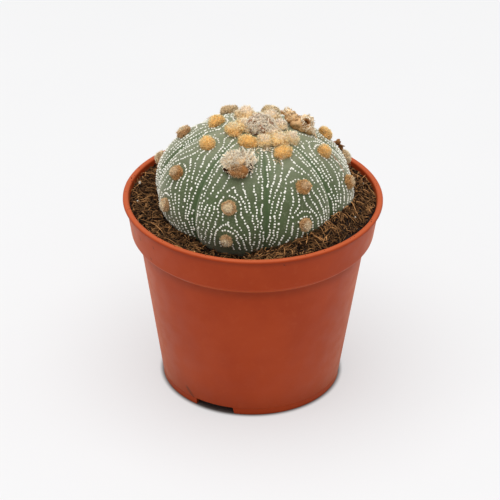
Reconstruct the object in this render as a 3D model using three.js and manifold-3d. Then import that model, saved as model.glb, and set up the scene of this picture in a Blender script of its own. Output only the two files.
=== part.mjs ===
// A potted star cactus, Astrophytum asterias: a low dome of eight broad ribs, with a woolly tuft (an areole)
// at each growing point, rows of white flecks over its skin and three withered flowers. It grows in coir soil
// in a tapered plastic pot. Units are millimetres and +Z is up. The origin is the middle of the pot's foot,
// on the surface that it stands on. Angles are in degrees: azimuth 0 faces the viewer (-Y) and 90 is to the
// right (+X).

import * as THREE from "three";
import { mergeVertices } from "three/addons/utils/BufferGeometryUtils.js";
import Module from "manifold-3d";

const wasm = await Module();
wasm.setup();

// Pot: a 10.5 cm nursery pot, injection moulded in one piece
const POT_HEIGHT = 82.3;
const RIM_RADIUS = 52.5;
const RIM_BEAD = 1.5; // height of the rounded lip
const RIM_UNDERCUT = 1.15; // from the top of the lip down to where it starts to turn in
const RIM_STEPS = 4;
const COLLAR_TOP_RADIUS = 51.2;
const COLLAR_FOOT_RADIUS = 49.1;
const COLLAR_FOOT_Z = 66.8;
const SHOULDER_RADIUS = 45.8; // where the collar steps in to the body
const SHOULDER_Z = 64.2;
const FOOT_RADIUS = 36.4;
const FOOT_STEP = 0.35; // the foot ring is this much narrower than the body
const FOOT_RING_WIDTH = 2.2;
const WALL = 1.1;
const FLOOR_Z = 3.2; // underside of the floor
const FLOOR_THICKNESS = 1.4;
const POT_SEGMENTS = 60;

// Three notches in the foot ring and seven drain holes in the floor
const NOTCH_COUNT = 3;
const NOTCH_WIDTH = 17.8;
const NOTCH_HEIGHT = 3.1;
const NOTCH_AZIMUTH = -23.3;
const DRAIN_HOLE_RADIUS = 3.5;
const DRAIN_HOLE_COUNT = 6;
const DRAIN_CIRCLE_RADIUS = 24;
const DRAIN_HOLE_SIDES = 14;

// Cactus body: an oblate spheroid, set a little off the pot's axis and tilted a little
const BODY_RADIUS = 40.1;
const BODY_RISE = 27.0; // from the widest ring to the crown
const BODY_DROP = 28.0; // from the widest ring to the underside, if it closed there
const BODY_CENTRE = new THREE.Vector3(0.7, -1.0, 87.3);
const TILT_BACK = 3.0;
const TILT_RIGHT = 2.6;
const CROWN_DENT = 1.6;
const CROWN_DENT_POLAR = 9;
const BODY_SEGMENTS = 64;
const BODY_RINGS = 17;

// Ribs and the creases between them
const RIB_COUNT = 8;
const RIB_PITCH = 360 / RIB_COUNT;
const FIRST_RIB_AZIMUTH = -105.8;
const CREASE_DEPTH = 1.5;
const CREASE_SHARE = 0.16; // of half a rib's width
const CREASE_FADE = 2.2; // how soon the creases reach full depth, away from the crown
const CREASE_CROWDING = 3.9; // degrees by which the surface's facets move towards the creases
const RIB_ROUNDING = 0.9;

// Root: the body ends in a tapering taproot in the soil, given as [radius, height] pairs down to its tip
const LAST_BODY_POLAR = 146;
const ROOT = [
  [14, 60.5],
  [8, 54],
  [5, 42],
  [2.6, 28],
  [0, 20],
];

// Areoles: each rib carries them down its middle. Steps are short near the crown and then even.
const CROWN_STEP = 18;
const CROWN_START = 12;
const RIB_STEP = 28.5;
const AREOLES_PER_RIB = 4;
// How far each rib's row is shifted, in steps, as growth in a spiral leaves it
const RIB_PHASE = [0.75, 0.15, 0.5, 0.0, 0.45, 0.7, 0.85, 0.2];
const YOUNG_TUFT = [3.8, 3.1, 3.4]; // half its width, half its length down the rib, its height
const OLD_TUFT = [2.2, 2.5, 2.4];
const TUFT_SUNK = 0.35; // share of its height that lies under the skin
const TUFT_ROUGHNESS = 0.3;
const CROWN_POLAR = 20.5; // areoles nearer the crown than this merge into its wool
const OLD_POLAR = 92; // where a tuft has worn down to its old size
const AREOLE_LOW_EDGE = 4; // degrees from its middle to its lower edge
const TUFT_LOW_EDGE_LIFT = 2.4;
const AREOLE_ABOVE_SOIL = 0.8;

// The crown's wool: lumps given by azimuth, polar angle, half width, half length and height
const CROWN_WOOL = [
  [0, 2, 7.5, 7.0, 3.8],
  [-148, 13.8, 4.2, 4.2, 4.0],
  [-61, 15.2, 3.9, 3.1, 3.6],
  [-85, 8, 3.6, 3.4, 2.6],
  [10, 20, 3.4, 2.8, 2.9],
  [36, 20.5, 4.4, 3.3, 3.5],
  [57, 23, 2.9, 2.8, 3.2],
  [34, 12, 4.4, 3.8, 3.0],
  [95, 12, 3.6, 3.2, 2.4],
  [145, 12.5, 3.6, 3.8, 3.2],
];

// Withered flowers: where each stands, half its width, half its length and its height, its turn on the skin
const FLOWERS = [
  { name: "front", azimuth: -15.8, polar: 40, size: [6.0, 5.4, 6.6], turn: 0, petals: 12, seed: 30 },
  { name: "crown", azimuth: 20, polar: 4.5, size: [6.0, 5.6, 7.8], turn: 20, petals: 8, seed: 60 },
  { name: "right", azimuth: 106, polar: 26, size: [5.6, 3.7, 5.4], turn: 38, petals: 9, seed: 90 },
];
const FLOWER_ROUGHNESS = 0.32;
const FLOWER_SEAT = 5; // a flower stands on any areole this near to its middle
const THROAT_SHARE = 0.42; // size of the flower's open middle, as a share of the flower's
const PETAL_LENGTH = [2.4, 4.3];
const PETAL_RADIUS = 1.6;
const PETAL_TIP_RADIUS = 0.25;
const PETAL_FLATNESS = 0.5;
const PETAL_DROOP = 0.3;
const PETAL_RISE = [8, 62]; // above the skin
const PETAL_SCATTER = [-15, 15];
const PETAL_ROOT = 0.62; // how far out in the flower a petal starts
const PETAL_HEART = 0.25; // height of the middle that petals leave from, as a share of the flower's
const GOLDEN_TURN = 137.5;

// Flecks: tiny tufts of white hair in rows that arch down and out from the middle of each rib
const FLECK_RADIUS = 0.62;
const FLECK_HEIGHT = 0.5;
const FLECK_SUNK = 0.25;
const FLECK_TURN = 40; // from one fleck to the next
const FLECK_STEP = 3.7;
const FLECK_FIRST_POLAR = 25;
const FLECK_LAST_POLAR = 112;
const FLECK_ABOVE_SOIL = 1.0;
const ROW_PITCH = 4.6;
const ROW_LEAST_GAP = 3.5;
const ROW_LEAN = 52; // from the rib's own direction, where a row leaves the middle
const ROW_EDGE = 0.9; // share of half a rib where a row has turned to run along the crease
const ARCH_NEAR = 5; // a row this close to an areole arches over it
const ARCH_FAR = 9;
const AREOLE_CLEARANCE = 4.2;
const FLOWER_CLEARANCE = 7.6;

// Soil: filled to just under the rim, heaped on one side of the plant and sunk in front of it
const SOIL_LEVEL = 80.0;
const SOIL_WALL_LEVEL_SHARE = 0.25; // of the heap and the dip that still shows at the wall
const HEAP = { azimuth: 58, radius: 41, height: 7, spread: 20 };
const DIP = { azimuth: -14, radius: 40, height: -5.5, spread: 11 };
const SOIL_ROUGHNESS = 0.55;
const SOIL_SEGMENTS = 48;
const SOIL_RINGS = [0, 37, 40, 43, 46, 49.45];
const HOLE_CLEARANCE = 0.45;
const HOLE_SEGMENTS = 36;
const HOLE_RINGS = 9;
const FIBRE_COUNT = 44;
const FIBRE_LENGTH = [6, 12];
const FIBRE_RADIUS = [0.4, 0.7];
const FIBRE_BEND = [-0.25, 0.25];
const FIBRE_LIFT = 1.1; // how far a fibre's middle arches out of the soil
const FIBRE_DIP = 2.0; // how much deeper its ends lie
const FIBRE_TAPER = 0.8;
const FIBRE_RING = [39, 49]; // between the plant and the wall

const CLEARANCE = 0.3; // between pieces that lie against each other
const WELD = 1e-3;

const SKIN = new THREE.MeshStandardMaterial({ color: 0x66785c, roughness: 0.75, metalness: 0 });
const TERRACOTTA = new THREE.MeshStandardMaterial({ color: 0xa0442a, roughness: 0.5, metalness: 0 });
const COIR = new THREE.MeshStandardMaterial({ color: 0x4a3020, roughness: 1, metalness: 0 });
const WOOL = new THREE.MeshStandardMaterial({ color: 0xd9c19a, roughness: 1, metalness: 0 });
const WITHERED = new THREE.MeshStandardMaterial({ color: 0xa08063, roughness: 1, metalness: 0 });

const { degToRad: radians, radToDeg: degrees, lerp, smoothstep, clamp, euclideanModulo } = THREE.MathUtils;

// Numbers from 0 to 1 that look random and are the same in each run.
function seededRandom(seed) {
  const [factor, step, range] = [1664525, 1013904223, 2 ** 32];
  let state = seed;
  return () => {
    state = (state * factor + step) % range;
    return state / range;
  };
}

// A number from low to high.
const between = (random, low, high) => low + (high - low) * random();

// A geometry with its positions alone, so that its vertices can be merged.
function bare(geometry) {
  geometry.deleteAttribute("normal");
  geometry.deleteAttribute("uv");
  return geometry;
}

// The closed solid that a geometry bounds.
function solid(geometry) {
  const merged = mergeVertices(bare(geometry), WELD);
  return new wasm.Manifold(
    new wasm.Mesh({
      numProp: 3,
      vertProperties: merged.attributes.position.array,
      triVerts: new Uint32Array(merged.index.array),
    }),
  );
}

// A named mesh of a solid.
function meshOf(name, made, material) {
  const { vertProperties, triVerts } = made.getMesh();
  const geometry = new THREE.BufferGeometry();
  geometry.setAttribute("position", new THREE.BufferAttribute(new Float32Array(vertProperties), 3));
  geometry.setIndex(new THREE.BufferAttribute(new Uint32Array(triVerts), 1));
  geometry.computeVertexNormals();
  const mesh = new THREE.Mesh(geometry, material);
  mesh.name = name;
  return mesh;
}

// A solid turned from a profile of [radius, height] pairs, round the Z axis.
function turned(profile, segments) {
  const points = profile.map(([radius, height]) => new THREE.Vector2(radius, height));
  return mergeVertices(bare(new THREE.LatheGeometry(points, segments)), WELD).rotateX(Math.PI / 2);
}

// Moves each vertex of a geometry to where place puts it.
function reshape(geometry, place) {
  const at = geometry.attributes.position;
  const point = new THREE.Vector3();
  for (let i = 0; i < at.count; i += 1) {
    point.fromBufferAttribute(at, i);
    place(point);
    at.setXYZ(i, point.x, point.y, point.z);
  }
  return geometry;
}

// A closed solid of rings, from the top down. Each ring is a function that gives its point at an azimuth.
// The first and the last ring are points.
function ringed(rings, segments) {
  const radius = (i) => (i === 0 || i === rings.length - 1 ? 0 : 1);
  const profile = rings.map((_, i) => [radius(i), -i]).reverse();
  return solid(
    reshape(turned(profile, segments), (point) => {
      const azimuth = degrees(Math.atan2(point.x, -point.y));
      point.copy(rings[Math.round(-point.z)](azimuth));
    }),
  );
}

// The union of many solids.
const joined = (solids) => solids.reduce((whole, piece) => whole.add(piece));

// The largest of the bodies that a cut leaves, so that no loose scrap stays.
const mainBody = (made) => made.decompose().reduce((a, b) => (a.volume() > b.volume() ? a : b));

// The point at an azimuth on a circle round the pot's axis.
function polarPoint(azimuth, radius, z = 0) {
  const angle = radians(azimuth);
  return new THREE.Vector3(radius * Math.sin(angle), -radius * Math.cos(angle), z);
}

// The pot

// The outside radius of the pot's body at a height.
function bodyRadius(z) {
  return lerp(FOOT_RADIUS + FOOT_STEP, SHOULDER_RADIUS, (z - FLOOR_Z) / (SHOULDER_Z - FLOOR_Z));
}

// The wall's inner side, from the rim down to the floor. A margin takes it that far in from the wall.
function innerProfile(margin = 0) {
  const floor = FLOOR_Z + FLOOR_THICKNESS + margin;
  const inset = WALL + margin;
  return [
    [COLLAR_TOP_RADIUS - inset, POT_HEIGHT - RIM_BEAD],
    [COLLAR_FOOT_RADIUS - inset, COLLAR_FOOT_Z + WALL / 2],
    [SHOULDER_RADIUS - inset, SHOULDER_Z + WALL / 2],
    [bodyRadius(floor) - inset, floor],
  ];
}

// The rim's rounded lip, from its outer edge over the top to its inner edge.
function rimProfile() {
  const inner = COLLAR_TOP_RADIUS - WALL;
  const middle = (RIM_RADIUS + inner) / 2;
  const half = (RIM_RADIUS - inner) / 2;
  return Array.from({ length: RIM_STEPS + 1 }, (_, i) => {
    const angle = (Math.PI * i) / RIM_STEPS;
    return [middle + half * Math.cos(angle), POT_HEIGHT - (RIM_BEAD / 2) * (1 - Math.sin(angle))];
  });
}

function pot() {
  const outside = [
    [FOOT_RADIUS, 0],
    [FOOT_RADIUS, FLOOR_Z - FOOT_STEP],
    [FOOT_RADIUS + FOOT_STEP, FLOOR_Z],
    [SHOULDER_RADIUS, SHOULDER_Z],
    [COLLAR_FOOT_RADIUS, COLLAR_FOOT_Z],
    [COLLAR_TOP_RADIUS, POT_HEIGHT - RIM_BEAD],
    [RIM_RADIUS, POT_HEIGHT - RIM_UNDERCUT],
  ];
  const floor = [
    [0, FLOOR_Z + FLOOR_THICKNESS],
    [0, FLOOR_Z],
    [FOOT_RADIUS - FOOT_RING_WIDTH, FLOOR_Z],
    [FOOT_RADIUS - FOOT_RING_WIDTH, 0],
    [FOOT_RADIUS, 0],
  ];
  const profile = [...outside, ...rimProfile(), ...innerProfile(), ...floor];
  return solid(turned(profile, POT_SEGMENTS)).subtract(joined([...footNotches(), ...drainHoles()]));
}

// Water leaves under the foot ring through notches.
function footNotches() {
  return Array.from({ length: NOTCH_COUNT }, (_, i) => {
    const azimuth = NOTCH_AZIMUTH + (i * 360) / NOTCH_COUNT;
    const box = new THREE.BoxGeometry(NOTCH_WIDTH, FOOT_RING_WIDTH * 4, NOTCH_HEIGHT * 2);
    return solid(box.rotateZ(radians(azimuth)).translate(...polarPoint(azimuth, FOOT_RADIUS)));
  });
}

function drainHole(azimuth, radius) {
  const height = FLOOR_THICKNESS * 3;
  const rod = new THREE.CylinderGeometry(DRAIN_HOLE_RADIUS, DRAIN_HOLE_RADIUS, height, DRAIN_HOLE_SIDES);
  const centre = polarPoint(azimuth, radius, FLOOR_Z + FLOOR_THICKNESS / 2);
  return solid(rod.rotateX(Math.PI / 2).translate(...centre));
}

// One drain hole in the middle of the floor and a circle of them round it.
function drainHoles() {
  const circle = Array.from({ length: DRAIN_HOLE_COUNT }, (_, i) =>
    drainHole((i * 360) / DRAIN_HOLE_COUNT, DRAIN_CIRCLE_RADIUS),
  );
  return [drainHole(0, 0), ...circle];
}

// The cactus body

const TILT = new THREE.Matrix4()
  .makeRotationY(radians(TILT_RIGHT))
  .multiply(new THREE.Matrix4().makeRotationX(-radians(TILT_BACK)))
  .setPosition(BODY_CENTRE);

// How deep the skin lies under the plain spheroid: a sharp crease on each side of a slightly rounded rib.
function creaseDepth(azimuth) {
  const across = euclideanModulo(azimuth - FIRST_RIB_AZIMUTH, RIB_PITCH) / RIB_PITCH;
  const toCrease = Math.abs(2 * across - 1);
  return CREASE_DEPTH * Math.exp(-toCrease / CREASE_SHARE) + RIB_ROUNDING * (1 - toCrease) ** 2;
}

// A point of the spheroid, sunk by a depth. The polar angle runs from 0 at the crown to 90 at the widest.
function onSpheroid(azimuth, polar, lift, depth) {
  const sine = Math.sin(radians(polar));
  const radius = (BODY_RADIUS + lift - depth * Math.min(1, sine * CREASE_FADE)) * sine;
  const dent = CROWN_DENT * Math.exp(-((polar / CROWN_DENT_POLAR) ** 2));
  const height = ((polar < 90 ? BODY_RISE : BODY_DROP) + lift) * Math.cos(radians(polar)) - dent;
  return polarPoint(azimuth, radius, height).applyMatrix4(TILT);
}

// A point of the ribbed skin, and one of the plain form round it.
const onSkin = (azimuth, polar, lift = 0) => onSpheroid(azimuth, polar, lift, creaseDepth(azimuth));
const onPlainForm = (azimuth, polar, lift = 0) => onSpheroid(azimuth, polar, lift, 0);

// Three directions at a point of the skin: across the rib, down the rib and out of the skin.
function skinFrame(azimuth, polar) {
  const probe = 0.5;
  const middle = onSkin(azimuth, polar);
  const across = onSkin(azimuth + probe, polar).sub(middle).normalize();
  const down = onSkin(azimuth, polar + probe).sub(middle).normalize();
  const out = new THREE.Vector3().crossVectors(down, across).normalize();
  return { middle, across, down: new THREE.Vector3().crossVectors(across, out), out };
}

// Puts a geometry on the skin: its X across the rib, its Y down it and its Z outwards.
function placeOnSkin(geometry, azimuth, polar, lift = 0, turn = 0) {
  const { middle, across, down, out } = skinFrame(azimuth, polar);
  const basis = new THREE.Matrix4().makeBasis(across, down.clone().negate(), out);
  basis.setPosition(middle.addScaledVector(out, lift));
  return geometry.rotateZ(radians(turn)).applyMatrix4(basis);
}

// The body and its root as one closed solid, over the ribbed skin or the plain form, grown by a margin.
function bodySolid(surface, margin, segments, rings) {
  const axis = new THREE.Vector3(BODY_CENTRE.x, BODY_CENTRE.y, 0);
  const body = Array.from(
    { length: rings + 1 },
    (_, i) => (azimuth) => surface(azimuth, (LAST_BODY_POLAR * i) / rings, margin),
  );
  const root = ROOT.map(([radius, z]) => (azimuth) => {
    const grown = radius > 0 ? radius + margin : 0;
    return polarPoint(azimuth, grown, z - margin).add(axis);
  });
  return ringed([...body, ...root], segments);
}

// The ribbed body. Its facets crowd towards the creases, where the skin bends most.
function ribbedBody(margin = 0) {
  const crowded = (azimuth) =>
    azimuth + CREASE_CROWDING * Math.sin(radians(RIB_COUNT * (azimuth - FIRST_RIB_AZIMUTH)));
  const surface = (azimuth, polar, lift) => onSkin(crowded(azimuth), polar, lift);
  return bodySolid(surface, margin, BODY_SEGMENTS, BODY_RINGS);
}

// Where the soil ends and the areoles stand

// The height of the soil's surface, without its roughness.
function soilTop(x, y) {
  const fade = lerp(1, SOIL_WALL_LEVEL_SHARE, smoothstep(Math.hypot(x, y), HEAP.radius, COLLAR_TOP_RADIUS));
  const swell = [HEAP, DIP].reduce((sum, { azimuth, radius, height, spread }) => {
    const centre = polarPoint(azimuth, radius);
    const distance = Math.hypot(x - centre.x, y - centre.y);
    return sum + height * Math.exp(-(distance * distance) / (2 * spread * spread));
  }, 0);
  return SOIL_LEVEL + swell * fade;
}

// Whether a point stands clear above the soil by a margin.
const aboveSoil = (point, margin) => point.z > soilTop(point.x, point.y) + margin;

const ribAzimuth = (rib) => FIRST_RIB_AZIMUTH + rib * RIB_PITCH;

// How far down its rib an areole lies, in steps from the first.
function areolePolar(steps) {
  const crown = CROWN_STEP * Math.min(steps, 1);
  return CROWN_START + crown + RIB_STEP * Math.max(steps - 1, 0);
}

// Every areole that stands clear of the soil.
function areolePlaces() {
  const places = [];
  for (let rib = 0; rib < RIB_COUNT; rib += 1) {
    for (let i = 0; i < AREOLES_PER_RIB; i += 1) {
      const azimuth = ribAzimuth(rib);
      const polar = areolePolar(i + RIB_PHASE[rib]);
      const centre = onSkin(azimuth, polar);
      const lowEdge = onSkin(azimuth, polar + AREOLE_LOW_EDGE, TUFT_LOW_EDGE_LIFT);
      if (aboveSoil(lowEdge, AREOLE_ABOVE_SOIL)) places.push({ rib, azimuth, polar, centre });
    }
  }
  return places;
}

const AREOLES = areolePlaces();

// Whether an areole has a tuft of its own: not in the crown's wool, nor under a flower.
function hasTuft({ polar, centre }) {
  const toFlowers = FLOWERS.map((flower) => onSkin(flower.azimuth, flower.polar).distanceTo(centre));
  return polar > CROWN_POLAR && Math.min(...toFlowers) > FLOWER_SEAT;
}

// A rough lump, from a ball whose corners are drawn out unevenly.
function lump(half, seed, roughness) {
  const random = seededRandom(seed);
  const ball = mergeVertices(bare(new THREE.IcosahedronGeometry(1, 1)), WELD);
  return reshape(ball, (point) => {
    point.multiplyScalar(1 + roughness * (random() - 0.4)).multiply(half);
  });
}

// A lump that stands on the skin, partly sunk in it. A margin makes it that much larger all round.
function lumpOnSkin({ azimuth, polar, size, turn = 0 }, seed, margin = 0, roughness = TUFT_ROUGHNESS) {
  const [width, length, height] = size;
  const halfHeight = height / (2 - 2 * TUFT_SUNK);
  const half = new THREE.Vector3(width, length, halfHeight).addScalar(margin);
  return solid(placeOnSkin(lump(half, seed, roughness), azimuth, polar, height - halfHeight, turn));
}

// An areole's tuft is broad near the crown and narrow where it is old, near the soil.
function tufts(margin = 0) {
  return AREOLES.filter(hasTuft).map(({ azimuth, polar }, i) => {
    const age = clamp((polar - CROWN_POLAR) / (OLD_POLAR - CROWN_POLAR), 0, 1);
    const size = YOUNG_TUFT.map((young, k) => lerp(young, OLD_TUFT[k], age));
    return lumpOnSkin({ azimuth, polar, size }, i + 1, margin);
  });
}

// The crown's wool

const woolLumps = (margin = 0) =>
  CROWN_WOOL.map(([azimuth, polar, ...size], i) => lumpOnSkin({ azimuth, polar, size }, i + 101, margin));

// The space that the plant takes up, with a small gap round its skin and its tufts.
const plantSpace = () => joined([ribbedBody(CLEARANCE), ...tufts(CLEARANCE)]);

const crownWool = () => mainBody(joined(woolLumps()).subtract(plantSpace()));

// Withered flowers

// A petal: a thin curled cone that leaves a point in a direction, and droops.
function petal(from, direction, length) {
  const cone = new THREE.CylinderGeometry(PETAL_TIP_RADIUS, PETAL_RADIUS, length, 3, 2);
  const bent = reshape(cone.translate(0, length / 2, 0), (point) => {
    const share = point.y / length;
    point.z = PETAL_FLATNESS * point.z - PETAL_DROOP * length * share * share;
  });
  const turn = new THREE.Quaternion().setFromUnitVectors(new THREE.Vector3(0, 1, 0), direction);
  return bent.applyQuaternion(turn).translate(...from);
}

// Petals stand round the flower in a spiral.
function petals({ azimuth, polar, size, turn, petals: count }, seed) {
  const random = seededRandom(seed);
  return Array.from({ length: count }, (_, i) => {
    const rise = radians(between(random, ...PETAL_RISE));
    const around = radians(GOLDEN_TURN * i + between(random, ...PETAL_SCATTER));
    const direction = new THREE.Vector3(
      Math.cos(around) * Math.cos(rise),
      Math.sin(around) * Math.cos(rise),
      Math.sin(rise),
    );
    const from = new THREE.Vector3(...size).multiply(direction).multiplyScalar(PETAL_ROOT);
    const shape = petal(from, direction, between(random, ...PETAL_LENGTH));
    return solid(placeOnSkin(shape, azimuth, polar, size[2] * PETAL_HEART, turn));
  });
}

// A dried flower: a rough lump with an open throat and ragged petals, seated on the plant.
function witheredFlower(flower) {
  const { seed } = flower;
  const throatSize = new THREE.Vector3(...flower.size).multiplyScalar(THROAT_SHARE);
  const throat = lump(throatSize, seed + 7, TUFT_ROUGHNESS);
  const opening = solid(placeOnSkin(throat, flower.azimuth, flower.polar, flower.size[2], flower.turn));
  const whole = joined([lumpOnSkin(flower, seed, 0, FLOWER_ROUGHNESS), ...petals(flower, seed + 3)]);
  return mainBody(whole.subtract(opening).subtract(plantSpace()).subtract(joined(woolLumps(CLEARANCE))));
}

// Rows of flecks

// Millimetres of skin to a degree of azimuth and of polar angle.
function degreeSizes(polar) {
  const [sine, cosine] = [Math.sin(radians(polar)), Math.cos(radians(polar))];
  const rise = polar < 90 ? BODY_RISE : BODY_DROP;
  const meridian = Math.hypot(BODY_RADIUS * cosine, rise * sine);
  return { across: radians(BODY_RADIUS * sine), along: radians(meridian) };
}

// The angle between a row and its rib. Rows lean out from the rib's middle, run along the crease beside it,
// and arch over the nearest areole.
function rowSlope(rib, offset, polar) {
  const share = Math.min(1, Math.abs(offset) / ((RIB_PITCH / 2) * ROW_EDGE));
  const lean = ROW_LEAN * (1 - share ** 1.5);
  const size = degreeSizes(polar);
  const aside = Math.abs(offset) * size.across;
  const above = AREOLES.filter((areole) => areole.rib === rib)
    .map((areole) => (areole.polar - polar) * size.along)
    .reduce((a, b) => (Math.abs(a) < Math.abs(b) ? a : b));
  const nearness = 1 - smoothstep(Math.hypot(aside, above), ARCH_NEAR, ARCH_FAR);
  const arch = THREE.MathUtils.radToDeg(Math.atan2(Math.max(above, 0), aside));
  return radians(lerp(lean, arch, nearness));
}

// Whether a fleck has room: clear of areoles, flowers, soil and other rows.
function hasRoom(point, row, places) {
  return (
    aboveSoil(point, FLECK_ABOVE_SOIL) &&
    AREOLES.every(({ centre }) => centre.distanceTo(point) > AREOLE_CLEARANCE) &&
    FLOWERS.every(({ azimuth, polar }) => onSkin(azimuth, polar).distanceTo(point) > FLOWER_CLEARANCE) &&
    places.every((other) => other.row === row || other.point.distanceTo(point) > ROW_LEAST_GAP)
  );
}

// Adds one row's flecks to the places. It runs from a rib's middle down and out, until it meets something.
function addRow(rib, side, start, places) {
  const row = { rib, side, start };
  let offset = side;
  let polar = start;
  let begun = false;
  while (polar < FLECK_LAST_POLAR) {
    const azimuth = ribAzimuth(rib) + offset;
    const point = onSkin(azimuth, polar);
    const free = hasRoom(point, row, places);
    if (begun && !free) return;
    if (free) places.push({ azimuth, polar, point, row });
    begun = free;
    const slope = rowSlope(rib, offset, polar);
    const size = degreeSizes(polar);
    offset += (side * FLECK_STEP * Math.sin(slope)) / size.across;
    polar += (FLECK_STEP * Math.cos(slope)) / size.along;
  }
}

// The places of all flecks. Rows start one below the other, on both sides of each rib's middle.
function fleckPlaces() {
  const places = [];
  const pitch = ROW_PITCH / Math.sin(radians(ROW_LEAN));
  for (let rib = 0; rib < RIB_COUNT; rib += 1) {
    for (let start = FLECK_FIRST_POLAR; start < FLECK_LAST_POLAR; start += pitch / degreeSizes(start).along) {
      addRow(rib, -1, start, places);
      addRow(rib, 1, start, places);
    }
  }
  return places;
}

// A fleck is a low pointed tuft with its root in the skin.
function flecks() {
  const height = FLECK_HEIGHT + FLECK_SUNK;
  return fleckPlaces().map(({ azimuth, polar }, i) => {
    const cone = new THREE.ConeGeometry(FLECK_RADIUS, height, 3).rotateX(Math.PI / 2);
    return solid(placeOnSkin(cone, azimuth, polar, height / 2 - FLECK_SUNK, i * FLECK_TURN));
  });
}

const cactus = () => joined([ribbedBody(), ...tufts(), ...flecks()]);

// The soil

// The soil's outside: its rough top, then down the pot's wall to the floor.
function soilSurface() {
  const random = seededRandom(5);
  const top = SOIL_RINGS.map((radius) => (azimuth) => {
    const point = polarPoint(azimuth, radius);
    return point.setZ(soilTop(point.x, point.y) + SOIL_ROUGHNESS * between(random, -1, 1));
  });
  const [, ...wall] = innerProfile(CLEARANCE);
  const sides = wall.map(([radius, z]) => (azimuth) => polarPoint(azimuth, radius, z));
  const floor = () => polarPoint(0, 0, wall.at(-1)[1]);
  return ringed([...top, ...sides, floor], SOIL_SEGMENTS);
}

// A coir fibre: a thin bent prism that follows the soil's surface, with both ends sunk in it.
function fibre(random) {
  const length = between(random, ...FIBRE_LENGTH);
  const centre = polarPoint(between(random, 0, 360), between(random, ...FIBRE_RING));
  const heading = between(random, 0, Math.PI);
  const bend = between(random, ...FIBRE_BEND);
  const radius = between(random, ...FIBRE_RADIUS);
  const prism = new THREE.CylinderGeometry(radius, radius, length, 3, 3).rotateX(Math.PI / 2);
  return solid(
    reshape(mergeVertices(bare(prism), WELD), (point) => {
      const share = (2 * point.z) / length;
      const aside = point.x * (1 - FIBRE_TAPER * Math.abs(share)) + bend * length * share * share;
      const height = point.y + FIBRE_LIFT - FIBRE_DIP * share * share;
      const x = centre.x + point.z * Math.cos(heading) - aside * Math.sin(heading);
      const y = centre.y + point.z * Math.sin(heading) + aside * Math.cos(heading);
      point.set(x, y, soilTop(x, y) + height);
    }),
  );
}

// The space inside the pot's wall, up to well above the rim. Fibres end there.
function potSpace() {
  const wall = innerProfile(CLEARANCE).reverse();
  const radius = wall.at(-1)[0];
  const profile = [[0, wall[0][1]], ...wall, [radius, 2 * POT_HEIGHT], [0, 2 * POT_HEIGHT]];
  return solid(turned(profile, SOIL_SEGMENTS));
}

function soil() {
  const random = seededRandom(11);
  const fibres = Array.from({ length: FIBRE_COUNT }, () => fibre(random));
  const filling = joined([soilSurface(), ...fibres]).intersect(potSpace());
  const hole = bodySolid(onPlainForm, HOLE_CLEARANCE, HOLE_SEGMENTS, HOLE_RINGS);
  return mainBody(filling.subtract(joined([hole, ...tufts(CLEARANCE)])));
}

const plant = new THREE.Group();
plant.add(meshOf("pot", pot(), TERRACOTTA));
plant.add(meshOf("soil", soil(), COIR));
plant.add(meshOf("cactus", cactus(), SKIN));
plant.add(meshOf("crown_wool", crownWool(), WOOL));
for (const flower of FLOWERS) {
  plant.add(meshOf(`withered_flower_${flower.name}`, witheredFlower(flower), WITHERED));
}

export default plant;
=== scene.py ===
# %% [markdown]
# # A star cactus in its nursery pot
#
# This lesson dresses a plain CAD model of a potted star cactus. The CAD model is the frame: it holds every
# piece at its true size and place, and nothing in it is moved. Each piece is modelled again round the same
# form, with the detail and the finish of the real thing.
# Lengths are in millimetres and angles in degrees. Azimuth 0 faces the viewer (-Y), and 90 is to the right.

# %% Start from the frame
import math
import random

import bmesh
import bpy
import numpy as np
from mathutils import Matrix, Quaternion, Vector, noise


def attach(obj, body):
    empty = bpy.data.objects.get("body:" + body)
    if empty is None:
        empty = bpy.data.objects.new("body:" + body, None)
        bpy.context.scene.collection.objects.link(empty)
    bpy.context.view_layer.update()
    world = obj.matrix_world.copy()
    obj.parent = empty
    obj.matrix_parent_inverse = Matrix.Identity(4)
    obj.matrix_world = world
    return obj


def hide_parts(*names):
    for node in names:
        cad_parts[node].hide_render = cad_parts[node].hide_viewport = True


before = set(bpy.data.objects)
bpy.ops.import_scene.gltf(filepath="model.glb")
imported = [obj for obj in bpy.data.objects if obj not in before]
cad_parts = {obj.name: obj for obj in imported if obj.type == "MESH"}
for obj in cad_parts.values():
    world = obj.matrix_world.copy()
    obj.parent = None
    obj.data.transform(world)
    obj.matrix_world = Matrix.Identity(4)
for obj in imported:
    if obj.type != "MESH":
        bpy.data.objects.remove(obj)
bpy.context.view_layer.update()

MM = 0.001
print("The frame holds", ", ".join(sorted(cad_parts)))

# %% [markdown]
# ## Camera
#
# The picture looks down on the pot by about 31 degrees, and it was taken with a long lens from about 1.2 m,
# which keeps the pot's sides nearly straight. A long lens also keeps the near and the far rim alike in size.
# The height, distance and lens come from the pot's own outline: its rim is 105 mm across and its foot is
# round, so only one camera shows both ovals as the picture does.

# %% Camera
CAMERA_ELEVATION = 30.76
CAMERA_DISTANCE = 1.201
CAMERA_AIM = Vector((-0.00094, 0, 0.05642))
CAMERA_ROLL = 0.6
CAMERA_LENS = 212


def set_camera():
    """Puts the camera in front of the pot, above it and aimed at its middle."""
    camera = bpy.data.objects.new("camera", bpy.data.cameras.new("camera"))
    bpy.context.scene.collection.objects.link(camera)
    height = math.radians(CAMERA_ELEVATION)
    back = Vector((0, -math.cos(height), math.sin(height)))
    camera.location = CAMERA_AIM + back * CAMERA_DISTANCE
    camera.rotation_mode = "QUATERNION"
    roll = Quaternion((0, 0, 1), math.radians(CAMERA_ROLL))
    camera.rotation_quaternion = (-back).to_track_quat("-Z", "Y") @ roll
    camera.data.lens = CAMERA_LENS
    bpy.context.scene.camera = camera


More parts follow.
